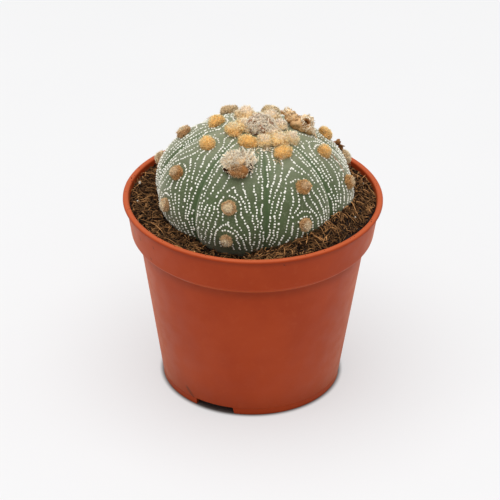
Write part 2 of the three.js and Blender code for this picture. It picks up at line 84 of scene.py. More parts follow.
set_camera()
print(f"The camera looks down by {CAMERA_ELEVATION} degrees from {CAMERA_DISTANCE} m")

# %% [markdown]
# ## Small tools for shapes
#
# Most pieces here are one of three things: a closed shell whose rings follow a formula, a lathe shape, or
# thousands of copies of one small shape. A shell starts as a flat grid that is rolled up. For the copies, an
# operator makes the small shape once, and each copy is the same mesh with its points moved, because one
# operator for each of thousands of copies would be slow.
#
# A point attribute called look goes with the copies. It holds three numbers that the materials read: a random
# shade, how far along a hair or up a lump the point lies, and the tone of what it belongs to.

# %% Shells, lathe shapes and copies
WELD = 1e-4
# A direction that hardly any strand has, from which a strand's sideways is worked out
STRAND_REFERENCE = [0.31, 0.17, 0.94]


def shell(rings, segments):
    """A closed shell from a grid rolled up round the Z axis. Each ring is a function from azimuths to points,
    and the first and the last ring come to a point."""
    bm = bmesh.new()
    bmesh.ops.create_grid(bm, x_segments=segments, y_segments=len(rings) - 1, size=0.5)
    bm.verts.ensure_lookup_table()
    grid = np.array([v.co for v in bm.verts])
    azimuth = 360 * (grid[:, 0] + 0.5)
    ring_number = np.round((0.5 - grid[:, 1]) * (len(rings) - 1)).astype(int)
    for number, ring in enumerate(rings):
        at = np.flatnonzero(ring_number == number)
        for i, point in zip(at, ring(azimuth[at])):
            bm.verts[i].co = point
    return closed(bm)


def closed(bm):
    """Merges the points that lie on each other and turns the faces outwards."""
    bmesh.ops.remove_doubles(bm, verts=bm.verts, dist=WELD)
    bmesh.ops.recalc_face_normals(bm, faces=bm.faces)
    return bm


def lathe(profile, steps):
    """A shape turned on the Z axis from a line of (radius, height) points."""
    bm = bmesh.new()
    verts = [bm.verts.new((radius, 0, z)) for radius, z in profile]
    edges = [bm.edges.new(pair) for pair in zip(verts, verts[1:])]
    bmesh.ops.spin(
        bm, geom=verts + edges, cent=(0, 0, 0), axis=(0, 0, 1), dvec=(0, 0, 0),
        angle=math.tau, steps=steps, use_merge=True, use_duplicate=False,
    )
    return closed(bm)


# %% Copies of one small shape


class Copies:
    """A small shape and the bmesh that its copies are added to."""

    def __init__(self, shape, whole):
        self.mesh = bpy.data.meshes.new("small_shape")
        shape.to_mesh(self.mesh)
        shape.free()
        points = np.zeros(len(self.mesh.vertices) * 3, np.float32)
        self.mesh.vertices.foreach_get("co", points)
        self.points = points.reshape(-1, 3).astype(float)
        self.look = self.mesh.attributes.new("look", "FLOAT_VECTOR", "POINT")
        self.whole = whole

    def add(self, points, shade, along, tone=0.0):
        """Adds a copy with its points moved. Along may be one number or a number for each point."""
        look = np.stack(np.broadcast_arrays(shade, along, tone, np.zeros(len(points)))[:3], axis=-1)
        self.mesh.vertices.foreach_set("co", points.astype(np.float32).ravel())
        self.look.data.foreach_set("vector", look.astype(np.float32).ravel())
        self.whole.from_mesh(self.mesh)


def ball(subdivisions):
    """A round ball of radius 1."""
    bm = bmesh.new()
    bmesh.ops.create_icosphere(bm, subdivisions=subdivisions, radius=1)
    return bm


def straight_strand(sides, joints):
    """A strand one long on the Z axis, with a ring of points at each joint."""
    bm = bmesh.new()
    bmesh.ops.create_cone(bm, cap_ends=True, segments=sides, radius1=1, radius2=1, depth=1)
    bmesh.ops.translate(bm, verts=bm.verts, vec=(0, 0, 0.5))
    long_edges = [e for e in bm.edges if abs(e.verts[0].co.z - e.verts[1].co.z) > 0.5]
    if joints > 1:
        bmesh.ops.subdivide_edges(bm, edges=long_edges, cuts=joints - 1, use_grid_fill=True)
    return bm


def along_path(points, path, radii):
    """Bends a straight strand's points along a path, which has one point and one radius for each joint."""
    tangent = np.gradient(path, axis=0)
    tangent /= np.linalg.norm(tangent, axis=1, keepdims=True) + 1e-9
    aside = np.cross(tangent, STRAND_REFERENCE)
    aside /= np.linalg.norm(aside, axis=1, keepdims=True) + 1e-9
    other = np.cross(tangent, aside)
    joint = np.round(points[:, 2] * (len(path) - 1)).astype(int)
    across = points[:, :1] * aside[joint] + points[:, 1:2] * other[joint]
    return path[joint] + across * np.asarray(radii)[joint, None]


def ripple(points, size, seed=0.0):
    """Smooth noise from -1 to 1 at each point, with swells of about that size."""
    return np.array([noise.noise(Vector(p) / size + Vector((seed, 0, 0))) for p in points])


# %% Making a piece


def make_piece(name, bm, material, stands_for=()):
    """Makes a bmesh in millimetres a smooth piece in metres that rides with the part."""
    bm.transform(Matrix.Scale(MM, 4))
    mesh = bpy.data.meshes.new(name)
    bm.to_mesh(mesh)
    bm.free()
    mesh.shade_smooth()
    mesh.materials.append(material)
    piece = bpy.data.objects.new(name, mesh)
    bpy.context.scene.collection.objects.link(piece)
    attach(piece, "root")
    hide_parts(*stands_for)
    mesh.calc_loop_triangles()
    print(f"{name}: {len(mesh.loop_triangles)} triangles")
    return piece


# %% [markdown]
# ## Small tools for materials
#
# A material is a tree of nodes. Short helpers keep each tree readable: one adds a node and joins its inputs,
# and one turns a screen colour into the values that a shader reads. Two effects come back in several
# finishes, so each is a node group: soft patches of light and dark, and the change of colour along a hair.

# %% Nodes and colours
# The share of a line's reach, on each side of it, where a mask round it is still whole
LINE_CORE = 0.2


def tint(red, green, blue):
    """A colour given as on a screen, from 0 to 255, as a shader reads it."""
    shares = [value / 255 for value in (red, green, blue)]
    return (*[((s + 0.055) / 1.055) ** 2.4 if s > 0.04 else s / 12.92 for s in shares], 1)


def node(tree, kind, inputs, **settings):
    """Adds a node. An input is given a number or colour, or the output of another node."""
    made = tree.nodes.new("ShaderNode" + kind)
    for name, value in settings.items():
        setattr(made, name, value)
    for key, value in inputs.items():
        if isinstance(value, bpy.types.NodeSocket):
            tree.links.new(value, made.inputs[key])
        else:
            made.inputs[key].default_value = value
    return made


def blend(tree, share, low, high):
    """The colour between two colours, which are the node's inputs 6 and 7."""
    return node(tree, "Mix", {0: share, 6: low, 7: high}, data_type="RGBA").outputs[2]


def maths(tree, operation, a, b, clamp=False):
    """The result of a sum on numbers that change over the surface."""
    return node(tree, "Math", {0: a, 1: b}, operation=operation, use_clamp=clamp).outputs[0]


def spread(tree, value, low, high, to_low=0.0, to_high=1.0):
    """Stretches a value so that low becomes to_low and high becomes to_high, smoothly and no further."""
    inputs = {"Value": value, 1: low, 2: high, 3: to_low, 4: to_high}
    return node(tree, "MapRange", inputs, interpolation_type="SMOOTHSTEP").outputs[0]


def place_on_piece(tree):
    """The point's own place, in metres."""
    return node(tree, "TexCoord", {}).outputs["Object"]


def grain(tree, size, detail=2.0, roughness=0.5):
    """Noise with features of about that size in millimetres."""
    inputs = {
        "Vector": place_on_piece(tree), "Scale": 1 / (size * MM), "Detail": detail, "Roughness": roughness,
    }
    return node(tree, "TexNoise", inputs).outputs[0]


def start_material(name):
    """A new material with its shader."""
    material = bpy.data.materials.new(name)
    material.use_nodes = True
    return material, material.node_tree, material.node_tree.nodes["Principled BSDF"]


def join(tree, output, shader, socket):
    tree.links.new(output, shader.inputs[socket])


def bump(tree, shader, height, depth):
    """Lets a height between 0 and 1 raise the surface by a depth in millimetres."""
    inputs = {"Height": height, "Strength": 1.0, "Distance": depth * MM}
    join(tree, node(tree, "Bump", inputs).outputs[0], shader, "Normal")


def near_line(tree, start, end, reach):
    """A mask that is 1 on a line between two points, in millimetres, and fades out over its reach."""
    start, end = Vector(start) * MM, Vector(end) * MM
    toward = end - start
    offset = node(tree, "VectorMath", {0: place_on_piece(tree), 1: start}, operation="SUBTRACT").outputs[0]
    along = node(tree, "VectorMath", {0: offset, 1: toward}, operation="DOT_PRODUCT").outputs["Value"]
    share = maths(tree, "DIVIDE", along, toward.length_squared, clamp=True)
    nearest = node(tree, "VectorMath", {0: toward, "Scale": share}, operation="SCALE").outputs[0]
    gap = node(tree, "VectorMath", {0: offset, 1: nearest}, operation="DISTANCE").outputs["Value"]
    return spread(tree, gap, reach * MM, LINE_CORE * reach * MM)


print("The pot's terracotta, as a shader reads it:", [round(part, 3) for part in tint(162, 57, 19)])

# %% Two effects that several finishes share
# The values of noise between which patches come in, and the detail of their edges
PATCH_LOW = 0.35
PATCH_HIGH = 0.65
PATCH_DETAIL = 4.0
PATCH_ROUGHNESS = 0.6


def group_tree(name, inputs, outputs):
    """An empty node group with named sockets."""
    tree = bpy.data.node_groups.new(name, "ShaderNodeTree")
    for socket, (kind, value) in inputs.items():
        made = tree.interface.new_socket(socket, in_out="INPUT", socket_type="NodeSocket" + kind)
        made.default_value = value
    for socket, kind in outputs.items():
        tree.interface.new_socket(socket, in_out="OUTPUT", socket_type="NodeSocket" + kind)
    return tree, tree.nodes.new("NodeGroupInput"), tree.nodes.new("NodeGroupOutput")


def soft_patches():
    """A mask of soft patches with ragged edges, as dust, damp and uneven growth leave them."""
    inputs = {"Scale": ("Float", 100.0), "Low": ("Float", PATCH_LOW), "High": ("Float", PATCH_HIGH)}
    tree, given, made = group_tree("soft patches", inputs, {"Mask": "Float"})
    cloud = node(tree, "TexNoise", {
        "Vector": place_on_piece(tree), "Scale": given.outputs["Scale"],
        "Detail": PATCH_DETAIL, "Roughness": PATCH_ROUGHNESS,
    })
    mask = spread(tree, cloud.outputs[0], given.outputs["Low"], given.outputs["High"])
    tree.links.new(mask, made.inputs["Mask"])
    return tree


def look_parts(tree):
    """The three numbers of the attribute look."""
    look = node(tree, "Attribute", {}, attribute_name="look").outputs["Vector"]
    return node(tree, "SeparateXYZ", {0: look}).outputs


def hair_colour():
    """From a hair's root colour to its tip colour, with a shade of its own for each hair."""
    inputs = {
        "Root": ("Color", (0.1, 0.1, 0.1, 1)), "Tip": ("Color", (0.8, 0.8, 0.8, 1)),
        "Unevenness": ("Float", 0.4),
    }
    tree, given, made = group_tree("hair colour", inputs, {"Color": "Color"})
    shade, along, _ = look_parts(tree)
    colour = blend(tree, along, given.outputs["Root"], given.outputs["Tip"])
    from_middle = maths(tree, "SUBTRACT", shade, 0.5)
    uneven = maths(tree, "MULTIPLY", from_middle, given.outputs["Unevenness"])
    value = maths(tree, "ADD", uneven, 1.0)
    shaded = node(tree, "HueSaturation", {"Value": value, "Color": colour}).outputs[0]
    tree.links.new(shaded, made.inputs["Color"])
    return tree


SOFT_PATCHES = soft_patches()
HAIR_COLOUR = hair_colour()
print("Node groups:", SOFT_PATCHES.name, "and", HAIR_COLOUR.name)


def use_group(tree, group, inputs):
    """Places a node group in a material, with its own values."""
    return node(tree, "Group", inputs, node_tree=group).outputs


def patches(tree, size, low=PATCH_LOW, high=PATCH_HIGH):
    return use_group(tree, SOFT_PATCHES, {"Scale": 1 / (size * MM), "Low": low, "High": high})["Mask"]


# %% [markdown]
# ## The pot
#
# The real pot is one thin injection moulding: a tapered cup with a taller collar that steps out at a
# shoulder, a rounded lip and a foot ring. Such a thing is round about one axis, so a lathe shape says it all:
# one profile goes up the outside, over the lip and down the inside. The corners then get a bevel, because a
# mould has no knife edges and the light on a rounded corner is what shows the step. Water leaves through
# notches in the foot ring and holes in the floor, which a Boolean cuts.

# %% Pot: sizes
POT_HEIGHT = 82.3
RIM_RADIUS = 52.5
RIM_BEAD = 1.5
RIM_UNDERCUT = 1.15
COLLAR_TOP_RADIUS = 51.2
COLLAR_FOOT_RADIUS = 49.1
COLLAR_FOOT_Z = 66.8
SHOULDER_RADIUS = 45.8
SHOULDER_Z = 64.2
FOOT_RADIUS = 36.4
FOOT_STEP = 0.35
FOOT_RING_WIDTH = 2.2
WALL = 1.1
LIP_INNER_RADIUS = COLLAR_TOP_RADIUS - WALL
LIP_MIDDLE_RADIUS = (RIM_RADIUS + LIP_INNER_RADIUS) / 2
LIP_HALF_WIDTH = (RIM_RADIUS - LIP_INNER_RADIUS) / 2
COLLAR_TOP_Z = POT_HEIGHT - RIM_BEAD - 0.2
FLOOR_Z = 3.2
FLOOR_THICKNESS = 1.4
LIP_STEPS = 12
POT_STEPS = 180
CORNER_STEPS = 3
POT_SHARP_ANGLE = 38
NOTCH_COUNT = 3
NOTCH_AZIMUTH = -23.3
NOTCH_WIDTH = 17.8
NOTCH_HEIGHT = 3.1
NOTCH_SLANT = 1.6
DRAIN_HOLE_RADIUS = 3.5
DRAIN_HOLE_COUNT = 6
DRAIN_CIRCLE_RADIUS = 24
# Corners that the mould rounds: radius, height and how far the round reaches from the corner
POT_CORNERS = [
    (COLLAR_FOOT_RADIUS, COLLAR_FOOT_Z, 0.7),
    (SHOULDER_RADIUS, SHOULDER_Z, 0.5),
    (COLLAR_TOP_RADIUS, COLLAR_TOP_Z, 0.25),
    (FOOT_RADIUS, 0, 0.35),
]


def polar_point(azimuth, radius, z=0.0):
    """The point at an azimuth on a circle round the pot's axis. Arrays give many points."""
    angle = np.radians(azimuth)
    parts = np.broadcast_arrays(radius * np.sin(angle), -radius * np.cos(angle), z)
    return np.stack(parts, axis=-1).astype(float)


def lip_profile():
    """The rounded lip, from its outer edge over the top to its inner edge."""
    angles = [math.pi * i / LIP_STEPS for i in range(LIP_STEPS + 1)]
    return [
        (LIP_MIDDLE_RADIUS + LIP_HALF_WIDTH * math.cos(a), POT_HEIGHT - RIM_BEAD / 2 * (1 - math.sin(a)))
        for a in angles
    ]


def pot_profile():
    """Up the outside, over the lip, down the inside and under the floor back to the foot."""
    outside = [
        (FOOT_RADIUS, 0), (FOOT_RADIUS, FLOOR_Z - FOOT_STEP), (FOOT_RADIUS + FOOT_STEP, FLOOR_Z),
        (SHOULDER_RADIUS, SHOULDER_Z), (COLLAR_FOOT_RADIUS, COLLAR_FOOT_Z),
        (COLLAR_TOP_RADIUS, COLLAR_TOP_Z), (RIM_RADIUS, POT_HEIGHT - RIM_UNDERCUT),
    ]
    floor = [(0, FLOOR_Z + FLOOR_THICKNESS)]
    under = [
        (0, FLOOR_Z), (FOOT_RADIUS - FOOT_RING_WIDTH, FLOOR_Z), (FOOT_RADIUS - FOOT_RING_WIDTH, 0),
        (FOOT_RADIUS, 0),
    ]
    return outside + lip_profile() + inner_wall()[1:] + floor + under


def inner_wall(margin=0.0):
    """The wall's inner side from the lip down to the floor, taken in by a margin."""
    inset = WALL + margin
    floor = FLOOR_Z + FLOOR_THICKNESS + margin
    slope = (SHOULDER_RADIUS - FOOT_RADIUS - FOOT_STEP) / (SHOULDER_Z - FLOOR_Z)
    return [
        (COLLAR_TOP_RADIUS - inset, POT_HEIGHT - RIM_BEAD),
        (COLLAR_FOOT_RADIUS - inset, COLLAR_FOOT_Z + WALL / 2),
        (SHOULDER_RADIUS - inset, SHOULDER_Z + WALL / 2),
        (FOOT_RADIUS + FOOT_STEP + slope * (floor - FLOOR_Z) - inset, floor),
    ]


print("The pot's profile has", len(pot_profile()), "points and goes up to", POT_HEIGHT, "mm")

# %% Pot: modelling


def round_corners(bm):
    """Bevels the ring of edges at each corner that the mould rounds."""
    for radius, z, reach in POT_CORNERS:
        ring = [
            e for e in bm.edges
            if all(abs(v.co.z - z) < 0.01 and abs(v.co.xy.length - radius) < 0.01 for v in e.verts)
        ]
        bmesh.ops.bevel(
            bm, geom=ring, offset=reach, segments=CORNER_STEPS, profile=0.5, affect="EDGES", material=-1
        )


def notch_cutter(bm, azimuth):
    """A box that cuts one notch in the foot ring. Its right end slants, to leave the mould."""
    box = bmesh.ops.create_cube(bm, size=1)["verts"]
    bmesh.ops.scale(bm, verts=box, vec=(NOTCH_WIDTH, FOOT_RING_WIDTH * 4, NOTCH_HEIGHT * 2))
    upper_right = [v for v in box if v.co.x > 0 and v.co.z > 0]
    bmesh.ops.translate(bm, verts=upper_right, vec=(-NOTCH_SLANT, 0, 0))
    place = Matrix.Translation(polar_point(azimuth, FOOT_RADIUS))
    turn = Matrix.Rotation(math.radians(azimuth), 4, "Z")
    bmesh.ops.transform(bm, verts=box, matrix=place @ turn)


def hole_cutter(bm, azimuth, radius):
    place = Matrix.Translation(polar_point(azimuth, radius, FLOOR_Z + FLOOR_THICKNESS / 2))
    bmesh.ops.create_cone(
        bm, cap_ends=True, segments=32, radius1=DRAIN_HOLE_RADIUS, radius2=DRAIN_HOLE_RADIUS,
        depth=FLOOR_THICKNESS * 3, matrix=place,
    )


def pot_cutters():
    bm = bmesh.new()
    for i in range(NOTCH_COUNT):
        notch_cutter(bm, NOTCH_AZIMUTH + i * 360 / NOTCH_COUNT)
    hole_cutter(bm, 0, 0)
    for i in range(DRAIN_HOLE_COUNT):
        hole_cutter(bm, i * 360 / DRAIN_HOLE_COUNT, DRAIN_CIRCLE_RADIUS)
    return bm


def loose_object(name, bm):
    """An object that only helps to make another one."""
    mesh = bpy.data.meshes.new(name)
    bm.to_mesh(mesh)
    bm.free()
    made = bpy.data.objects.new(name, mesh)
    bpy.context.scene.collection.objects.link(made)
    return made


def cut(bm, cutters):
    """One bmesh cut by another, by a Boolean modifier whose result is kept."""
    body, knife = loose_object("body", bm), loose_object("knife", cutters)
    modifier = body.modifiers.new("cut", "BOOLEAN")
    modifier.operation = "DIFFERENCE"
    modifier.solver = "EXACT"
    modifier.object = knife
    result = bmesh.new()
    result.from_object(body, bpy.context.evaluated_depsgraph_get())
    bpy.data.objects.remove(body)
    bpy.data.objects.remove(knife)
    return result


def model_pot():
    bm = lathe(pot_profile(), POT_STEPS)
    round_corners(bm)
    return cut(bm, pot_cutters())


print(NOTCH_COUNT, "notches in the foot ring and", DRAIN_HOLE_COUNT + 1, "holes in the floor")

# %% [markdown]
# ### Finish of the pot
#
# Terracotta-coloured polypropylene is satin, not shiny: it mirrors its surroundings only where one looks
# along it, which makes the pot's sides paler. The colour is even, with a faint cloudiness of dust. The lip
# is paler, with dust and a painted highlight. Shade is painted under both ledges, and the pot is darker
# towards its foot. Grit and a few smears of dark soil stick to the outside, and the skin of the moulding has
# a very fine grain.

# %% Pot: finish
# Smears of soil on the outside: azimuth and height of both ends, and how far the smear reaches
SMEARS = [
    ((-69.6, 75.6), (-69.0, 73.8), 0.75),
    ((-62.8, 75.9), (-62.2, 74.4), 0.65),
    ((-51.0, 76.4), (-50.7, 75.7), 0.5),
    ((-54.6, 69.2), (-54.2, 68.6), 0.5),
    ((-44.4, 6.8), (-39.9, 3.5), 1.3),
    ((14.0, 79.3), (14.4, 78.9), 0.4),
    ((128.0, 74.0), (129.0, 71.5), 0.8),
    ((201.0, 12.0), (204.0, 9.0), 1.2),
]
# Ledges under which shade is painted: height, how far down the painted shade reaches and how strong it is
LEDGES = [(POT_HEIGHT - RIM_UNDERCUT, 3.4, 0.42), (SHOULDER_Z, 5.5, 0.36)]
LEDGE_END = 0.5
# The colour of the painted shade under the ledges, and of the darkening towards the foot
DARKER_TERRACOTTA = tint(96, 34, 16)
# Heights in metres between which dust and a painted highlight come in on the lip, grit on the collar, and the
# pot's darkening towards its foot fades out
LIP_DUST_AND_HIGHLIGHT_RISE = (81.6 * MM, POT_HEIGHT * MM)
GRIT_RISE = (66 * MM, 80 * MM)
FOOT_DARKENING_FALL = (0.0, 14 * MM)


def on_pot(azimuth, z):
    """The point on the pot's outside at a height."""
    heights = [FLOOR_Z, SHOULDER_Z, COLLAR_FOOT_Z, POT_HEIGHT - RIM_BEAD]
    radii = [FOOT_RADIUS + FOOT_STEP, SHOULDER_RADIUS, COLLAR_FOOT_RADIUS, COLLAR_TOP_RADIUS]
    return polar_point(azimuth, np.interp(z, heights, radii), z)


def pot_plastic():
    material, tree, shader = start_material("pot_plastic")
    colour = blend(tree, patches(tree, 26), tint(162, 57, 19), tint(170, 63, 23))
    colour = blend(tree, maths(tree, "MULTIPLY", patches(tree, 3, 0.5, 0.8), 0.3), colour, tint(178, 78, 42))
    height = node(tree, "SeparateXYZ", {0: place_on_piece(tree)}).outputs[2]
    # Dust on the lip, with a painted highlight on it as well
    dust_and_highlight = spread(tree, height, *LIP_DUST_AND_HIGHLIGHT_RISE, 0.0, 0.5)
    colour = blend(tree, dust_and_highlight, colour, tint(212, 112, 70))
    # Painted shade under each ledge
    for ledge, reach, strength in LEDGES:
        ledge_shade = spread(tree, height, (ledge - reach) * MM, ledge * MM, 0.0, strength)
        below = spread(tree, height, ledge * MM, (ledge + LEDGE_END) * MM, 1.0, 0.0)
        colour = blend(tree, maths(tree, "MULTIPLY", ledge_shade, below), colour, DARKER_TERRACOTTA)
    # Darker towards the foot
    colour = blend(tree, spread(tree, height, *FOOT_DARKENING_FALL, 0.2, 0.0), colour, DARKER_TERRACOTTA)
    specks = patches(tree, 0.7, 0.69, 0.72)
    grit = maths(tree, "MULTIPLY", specks, spread(tree, height, *GRIT_RISE, 0.0, 0.75))
    colour = blend(tree, grit, colour, tint(88, 38, 24))
    ragged = patches(tree, 0.9, 0.35, 0.5)
    for start, end, reach in SMEARS:
        smear = maths(tree, "MULTIPLY", near_line(tree, on_pot(*start), on_pot(*end), reach), ragged)
        colour = blend(tree, maths(tree, "MULTIPLY", smear, 0.8), colour, tint(92, 40, 24))
    join(tree, colour, shader, "Base Color")
    join(tree, spread(tree, grain(tree, 6, 3.0), 0.3, 0.7, 0.40, 0.50), shader, "Roughness")
    shader.inputs["Specular IOR Level"].default_value = 0.1
    shader.inputs["Sheen Weight"].default_value = 0.31
    shader.inputs["Sheen Roughness"].default_value = 0.35
    shader.inputs["Sheen Tint"].default_value = tint(255, 150, 84)
    bump(tree, shader, grain(tree, 0.5, 2.0), 0.015)
    return material


pot = make_piece("nursery_pot", model_pot(), pot_plastic(), ["pot"])
pot.data.set_sharp_from_angle(angle=math.radians(POT_SHARP_ANGLE))

# %% [markdown]
# ## The form of the plant
#
# A star cactus is a low dome of eight broad ribs. Its form is a squashed ball, dented at the crown and tilted
# a little, from which a crease is cut between each two ribs. Everything on the plant is placed by this one
# formula: give it an azimuth and an angle down from the crown, and it gives the point on the skin.

# %% Plant: sizes and the skin's formula
BODY_RADIUS = 40.1
BODY_RISE = 27.0
BODY_DROP = 28.0
BODY_CENTRE = np.array([0.7, -1.0, 87.3])
TILT_BACK = 3.0
TILT_RIGHT = 2.6
CROWN_DENT = 1.6
CROWN_DENT_POLAR = 9
RIB_COUNT = 8
RIB_PITCH = 360 / RIB_COUNT
FIRST_RIB_AZIMUTH = -105.8
CREASE_DEPTH = 1.5
CREASE_SHARE = 0.16
CREASE_FADE = 2.2
RIB_ROUNDING = 0.9

TILT = np.array(
    Matrix.Rotation(math.radians(TILT_RIGHT), 3, "Y") @ Matrix.Rotation(-math.radians(TILT_BACK), 3, "X")
)


def to_crease(azimuth):
    """0 in a crease and 1 on the middle of a rib."""
    across = np.mod(azimuth - FIRST_RIB_AZIMUTH, RIB_PITCH) / RIB_PITCH
    return np.abs(2 * across - 1)


def crease_depth(azimuth):
    share = to_crease(azimuth)
    return CREASE_DEPTH * np.exp(-share / CREASE_SHARE) + RIB_ROUNDING * (1 - share) ** 2


def on_skin(azimuth, polar, lift=0.0):
    """The point of the skin at an azimuth and an angle down from the crown. Arrays give many points."""
    sine, cosine = np.sin(np.radians(polar)), np.cos(np.radians(polar))
    sunk = crease_depth(azimuth) * np.minimum(1, sine * CREASE_FADE)
    radius = (BODY_RADIUS + lift - sunk) * sine
    dent = CROWN_DENT * np.exp(-((polar / CROWN_DENT_POLAR) ** 2))
    height = (np.where(polar < 90, BODY_RISE, BODY_DROP) + lift) * cosine - dent
    return polar_point(azimuth, radius, height) @ TILT.T + BODY_CENTRE


def unit(vector):
    return vector / np.linalg.norm(vector)


class Spot:
    """A place on the skin with its own axes: x across the rib, y up it and z out of the skin."""

    def __init__(self, azimuth, polar, lift=0.0, turn=0.0):
        probe = 0.5
        middle = on_skin(azimuth, polar)
        across = unit(on_skin(azimuth + probe, polar) - middle)
        down = unit(on_skin(azimuth, polar + probe) - middle)
        out = unit(np.cross(down, across))
        level = np.array([across, -np.cross(across, out), out])
        self.axes = np.array(Matrix.Rotation(math.radians(turn), 3, "Z")).T @ level
        self.origin = middle + lift * out

    def world(self, points):
        """Points given on the spot's own axes, as points of the object."""
        return points @ self.axes + self.origin


print("The skin at the crown is at", np.round(on_skin(0.0, 0.0), 1))

# %% [markdown]
# ### The soil's surface
#
# The soil is heaped to the right of the plant and sunk in front of it. Two broad swells on a level surface
# say that, and both fade towards the wall. The plant's lower edge, the flecks and every fibre ask this
# formula where the soil is.

# %% Soil level
SOIL_LEVEL = 80.0
SOIL_WALL_LEVEL_SHARE = 0.25
SWELLS = [
    {"azimuth": 58, "radius": 41, "height": 7, "spread": 20},
    {"azimuth": -14, "radius": 40, "height": -5.5, "spread": 11},
]


def smooth(value, low, high):
    """0 below low, 1 above high and a smooth rise between them."""
    share = np.clip((value - low) / (high - low), 0, 1)
    return share * share * (3 - 2 * share)


def soil_top(points):
    """The height of the soil's surface under or over each point."""
    points = np.asarray(points)
    near_wall = smooth(np.hypot(points[..., 0], points[..., 1]), SWELLS[0]["radius"], COLLAR_TOP_RADIUS)
    swell = 0
    for s in SWELLS:
        centre = polar_point(s["azimuth"], s["radius"])
        distance = np.hypot(points[..., 0] - centre[0], points[..., 1] - centre[1])
        swell = swell + s["height"] * np.exp(-(distance**2) / (2 * s["spread"] ** 2))
    return SOIL_LEVEL + swell * (1 + (SOIL_WALL_LEVEL_SHARE - 1) * near_wall)


for place in SWELLS:
    surface = float(soil_top(polar_point(place["azimuth"], place["radius"])))
    print(f"At azimuth {place['azimuth']} the soil stands {surface:.1f} mm high")

# %% [markdown]
# ## The cactus body
#
# The skin is a shell of the formula. Its rings go from the crown down past the soil and end in a tapering
# taproot, which the real plant also hides in the soil. Points crowd towards the creases, where the skin bends
# most. The attribute look says how near a crease and how far down each point is, for the finish.

# %% Cactus body: modelling
# How wide the greener skin of a crease, also darkened there as painted shade, is as a share of the rib, and
# how fast it comes in from the crown
CREASE_GREEN_AND_SHADE_SHARE = 0.14
CREASE_GREEN_AND_SHADE_RISE = 1.6
BODY_SEGMENTS = 336
BODY_RINGS = 120
LAST_BODY_POLAR = 146
CREASE_CROWDING = 3.9
ROOT = [(14, 60.5), (8, 54), (5, 42), (2.6, 28), (0, 20)]


def crowded(azimuth):
    """Moves an azimuth towards the nearest crease."""
    return azimuth + CREASE_CROWDING * np.sin(np.radians(RIB_COUNT * (azimuth - FIRST_RIB_AZIMUTH)))


def root_ring(radius, z):
    return lambda azimuth: polar_point(azimuth, radius, z) + BODY_CENTRE * [1, 1, 0]


def skin_ring(polar):
    return lambda azimuth: on_skin(crowded(azimuth), polar)


def model_body():
    polars = [LAST_BODY_POLAR * i / BODY_RINGS for i in range(BODY_RINGS + 1)]
    rings = [skin_ring(polar) for polar in polars] + [root_ring(radius, z) for radius, z in ROOT]
    return shell(rings, BODY_SEGMENTS)


def mark_skin(bm):
    """Keeps how near each point is to a crease, and how far down the plant it is, in look."""
    look = bm.verts.layers.float_vector.new("look")
    for vert in bm.verts:
        local = TILT.T @ (np.array(vert.co) - BODY_CENTRE)
        azimuth = math.degrees(math.atan2(local[0], -local[1]))
        polar = math.degrees(math.atan2(math.hypot(local[0], local[1]) / BODY_RADIUS, local[2] / BODY_RISE))
        from_crown = min(1, math.sin(math.radians(polar)) * CREASE_GREEN_AND_SHADE_RISE)
        near = math.exp(-float(to_crease(azimuth)) / CREASE_GREEN_AND_SHADE_SHARE) * from_crown
        vert[look] = (near, polar / 180, 0)


print("The body's shell has", BODY_RINGS + 1 + len(ROOT), "rings of", BODY_SEGMENTS, "points")

# %% [markdown]
# ### Finish of the skin
#
# The skin is waxy and grey-green, matt, and greener in the creases, where it has not weathered, and darker
# there with painted shade. Towards the crown it is paler and greyer, partly from a bloom of wax and partly as
# painted light, and lower down it is darker with painted shade. It has a fine mottle, and on the right an old
# brown scar runs down a rib.

# %% Cactus body: finish
# Where the paleness of wax bloom and painted light starts to give way to the darker, painted-shade lower
# skin, and where that ends, from 0 at the crown to 1 at the root
BLOOM_AND_SHADE_FALL = (0.13, 0.40)
# The scar's upper and lower end, as azimuth and polar angle
SCAR_ENDS = [(82.2, 48), (77.2, 62)]
SCAR_REACH = 1.3


def cactus_skin():
    material, tree, shader = start_material("cactus_skin")
    crease, down, _ = look_parts(tree)
    # Paler and greyer towards the crown, partly wax bloom and partly painted light; darker lower down as
    # painted shade
    bloom_and_shade = blend(tree, spread(tree, down, *BLOOM_AND_SHADE_FALL), tint(132, 136, 109), tint(67, 78, 43))
    clouds = maths(tree, "MULTIPLY", patches(tree, 7), 0.5)
    clouded = blend(tree, clouds, bloom_and_shade, tint(80, 97, 58))
    blotches = maths(tree, "MULTIPLY", patches(tree, 2.2, 0.5, 0.75), 0.35)
    blotched = blend(tree, blotches, clouded, tint(70, 92, 52))
    speckle = maths(tree, "MULTIPLY", patches(tree, 0.7, 0.5, 0.7), 0.35)
    mottled = blend(tree, speckle, blotched, tint(146, 148, 124))
    # Greener in the creases, and darker there as painted shade
    green = blend(tree, maths(tree, "MULTIPLY", crease, 0.8), mottled, tint(56, 82, 38))
    scar_shape = near_line(tree, on_skin(*SCAR_ENDS[0]), on_skin(*SCAR_ENDS[1]), SCAR_REACH)
    scar = maths(tree, "MULTIPLY", scar_shape, patches(tree, 1.6, 0.35, 0.55))
    join(tree, blend(tree, scar, green, tint(132, 84, 40)), shader, "Base Color")
    join(tree, spread(tree, grain(tree, 3.0), 0.3, 0.7, 0.58, 0.72), shader, "Roughness")
    shader.inputs["Specular IOR Level"].default_value = 0.35
    shader.inputs["Sheen Weight"].default_value = 0.7
    shader.inputs["Sheen Roughness"].default_value = 0.45
    shader.inputs["Sheen Tint"].default_value = tint(255, 252, 226)
    bump(tree, shader, grain(tree, 0.8, 4.0, 0.6), 0.10)
    return material


body = model_body()
mark_skin(body)
make_piece("cactus_body", body, cactus_skin(), ["cactus"])

